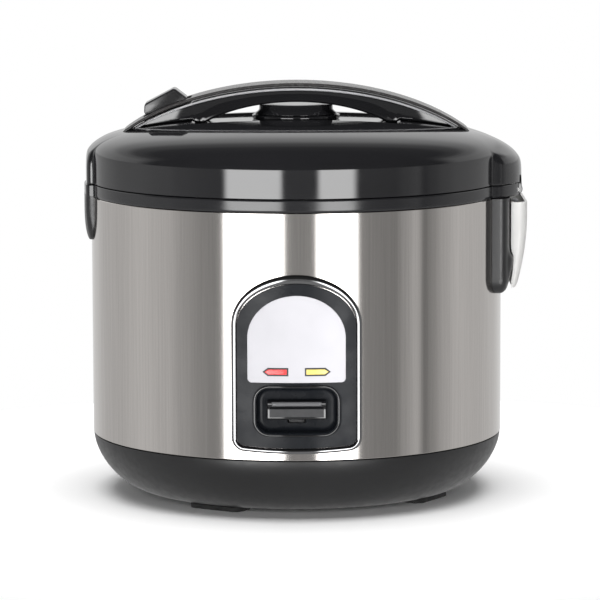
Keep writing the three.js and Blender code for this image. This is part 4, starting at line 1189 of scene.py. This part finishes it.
def world_light():
    """A studio round the object, by direction: two bright bands on the camera's side, dim above them."""
    world = bpy.data.worlds.new("studio")
    SCENE.world = world
    world.use_nodes = True
    tree = world.node_tree
    tree.nodes.clear()
    new, link = tree.nodes.new, tree.links.new

    def math_node(kind, a, b=None):
        node = new("ShaderNodeMath")
        node.operation = kind
        for socket, value in zip(node.inputs, (a, b)):
            if value is None:
                continue
            if isinstance(value, (int, float)):
                socket.default_value = value
            else:
                link(value, socket)
        return node.outputs[0]

    def ramp(source, stops):
        node = new("ShaderNodeValToRGB")
        node.color_ramp.interpolation = "EASE"
        marks = node.color_ramp.elements
        while len(marks) > 1:
            marks.remove(marks[-1])
        marks[0].position = stops[0][0]
        marks[0].color = (stops[0][1],) * 3 + (1,)
        for place, value in stops[1:]:
            mark = marks.new(place)
            mark.color = (value,) * 3 + (1,)
        link(source, node.inputs["Fac"])
        return node.outputs["Color"]

    coords = new("ShaderNodeTexCoord")
    split = new("ShaderNodeSeparateXYZ")
    link(coords.outputs["Generated"], split.inputs["Vector"])
    x, y, z = split.outputs
    azimuth = math_node("ARCTAN2", x, math_node("MULTIPLY", y, -1.0))
    turn = math_node("ADD", math_node("DIVIDE", azimuth, 2 * math.pi), 0.5)
    climb = math_node("ADD", math_node("DIVIDE", math_node("ARCSINE", z), math.pi), 0.5)

    sides = [(-180, 1.00), (-155, 0.85), (-134, 0.72), (-118, 0.71), (-96, 0.82), (-77, 0.74), (-66, 0.56),
             (-53, 0.42), (-43, 0.34), (-41.5, 0.36), (-37.5, BOX), (-9.5, BOX), (-6.5, 0.40), (10.5, 0.40),
             (14, BOX), (30.5, BOX), (35, 0.38), (57, 0.34), (62, 0.52), (71, 0.70), (76, 0.26), (81, 0.42),
             (91, 0.64), (101, 0.78), (126, 0.74), (144, 0.80), (160, 0.90), (180, 1.00)]
    front = ramp(turn, [(place / 360 + 0.5, value / BOX) for place, value in sides])
    back = [(-90, 0.60), (-60, 0.60), (-20, 0.85), (0, 1.10), (22, 1.10), (30, 0.75), (38, 0.28), (46, 0.09),
            (60, 0.05), (90, 0.05)]
    behind = ramp(climb, [(place / 180 + 0.5, value / BOX) for place, value in back])
    level = ramp(climb, [(place / 180 + 0.5, value) for place, value in
                         [(-90, 0.0), (-30, 0.0), (-18, 1.0), (1.0, 1.0), (5.0, 0.0), (90, 0.0)]])
    beyond = [(-90, 0.70), (-30, 0.70), (-18, 0.0), (1.0, 0.0), (5.0, 0.10), (50, 0.06), (90, 0.05)]
    above = ramp(climb, [(place / 180 + 0.5, value / BOX) for place, value in beyond])
    ahead = math_node("ADD", math_node("MULTIPLY", front, level), above)
    share = ramp(math_node("ADD", math_node("MULTIPLY", y, 0.5), 0.5), [(0.0, 0.0), (0.47, 0.0), (0.62, 1.0)])
    rest = math_node("MULTIPLY", math_node("SUBTRACT", 1.0, level), share)
    keep = math_node("SUBTRACT", 1.0, rest)
    total = math_node("ADD", math_node("MULTIPLY", ahead, keep), math_node("MULTIPLY", behind, rest))
    light = new("ShaderNodeBackground")
    link(math_node("MULTIPLY", total, BOX), light.inputs["Strength"])
    white = new("ShaderNodeBackground")
    white.inputs["Color"].default_value = (1, 1, 1, 1)
    path = new("ShaderNodeLightPath")
    mix = new("ShaderNodeMixShader")
    link(path.outputs["Is Camera Ray"], mix.inputs["Fac"])
    link(light.outputs["Background"], mix.inputs[1])
    link(white.outputs["Background"], mix.inputs[2])
    out = new("ShaderNodeOutputWorld")
    link(mix.outputs["Shader"], out.inputs["Surface"])


CAMERA_DISTANCE = 2.3802  # metres from the body's axis
CAMERA_HEIGHT = 0.4209
CAMERA_SIDE = 0.0022
CAMERA_PITCH = 0.125327   # radians, downward
CAMERA_ROLL = math.radians(-0.16)
CAMERA_SENSOR = 36        # millimetres
CAMERA_LENS = 223.872


def camera():
    data = bpy.data.cameras.new("camera")
    data.sensor_width = CAMERA_SENSOR
    data.lens = CAMERA_LENS
    data.clip_end = 50
    cam = linked("camera", data)
    tilt = Matrix.Rotation(math.pi / 2 - CAMERA_PITCH, 4, "X") @ Matrix.Rotation(CAMERA_ROLL, 4, "Z")
    cam.matrix_world = Matrix.Translation((AXIS_X + CAMERA_SIDE, -CAMERA_DISTANCE, CAMERA_HEIGHT)) @ tilt
    SCENE.camera = cam


# ---------------- everything in order

dress_cad_nodes()
outer_shell()
base_cover()
feet()
upper_ring()
hinge_housing()
dew_collector()
bezel()
panel_plate()
label_plate()
lamps()
cook_lever()
lid_cover()
lid_knuckles()
handle_cover()
handle_grip()
release_button()
steam_vent()
inner_pot()
lid_gasket()
studio_floor()
soft_light("overhead", (0, 0.0, 1.7), (0, 0, 0), 1.8, 1.8, 54.0)
soft_light("fill", (0, -1.5, 0.35), (0, 0, 0.05), 2.4, 0.6, 14.0)
world_light()
camera()
SCENE.view_settings.view_transform = "Standard"
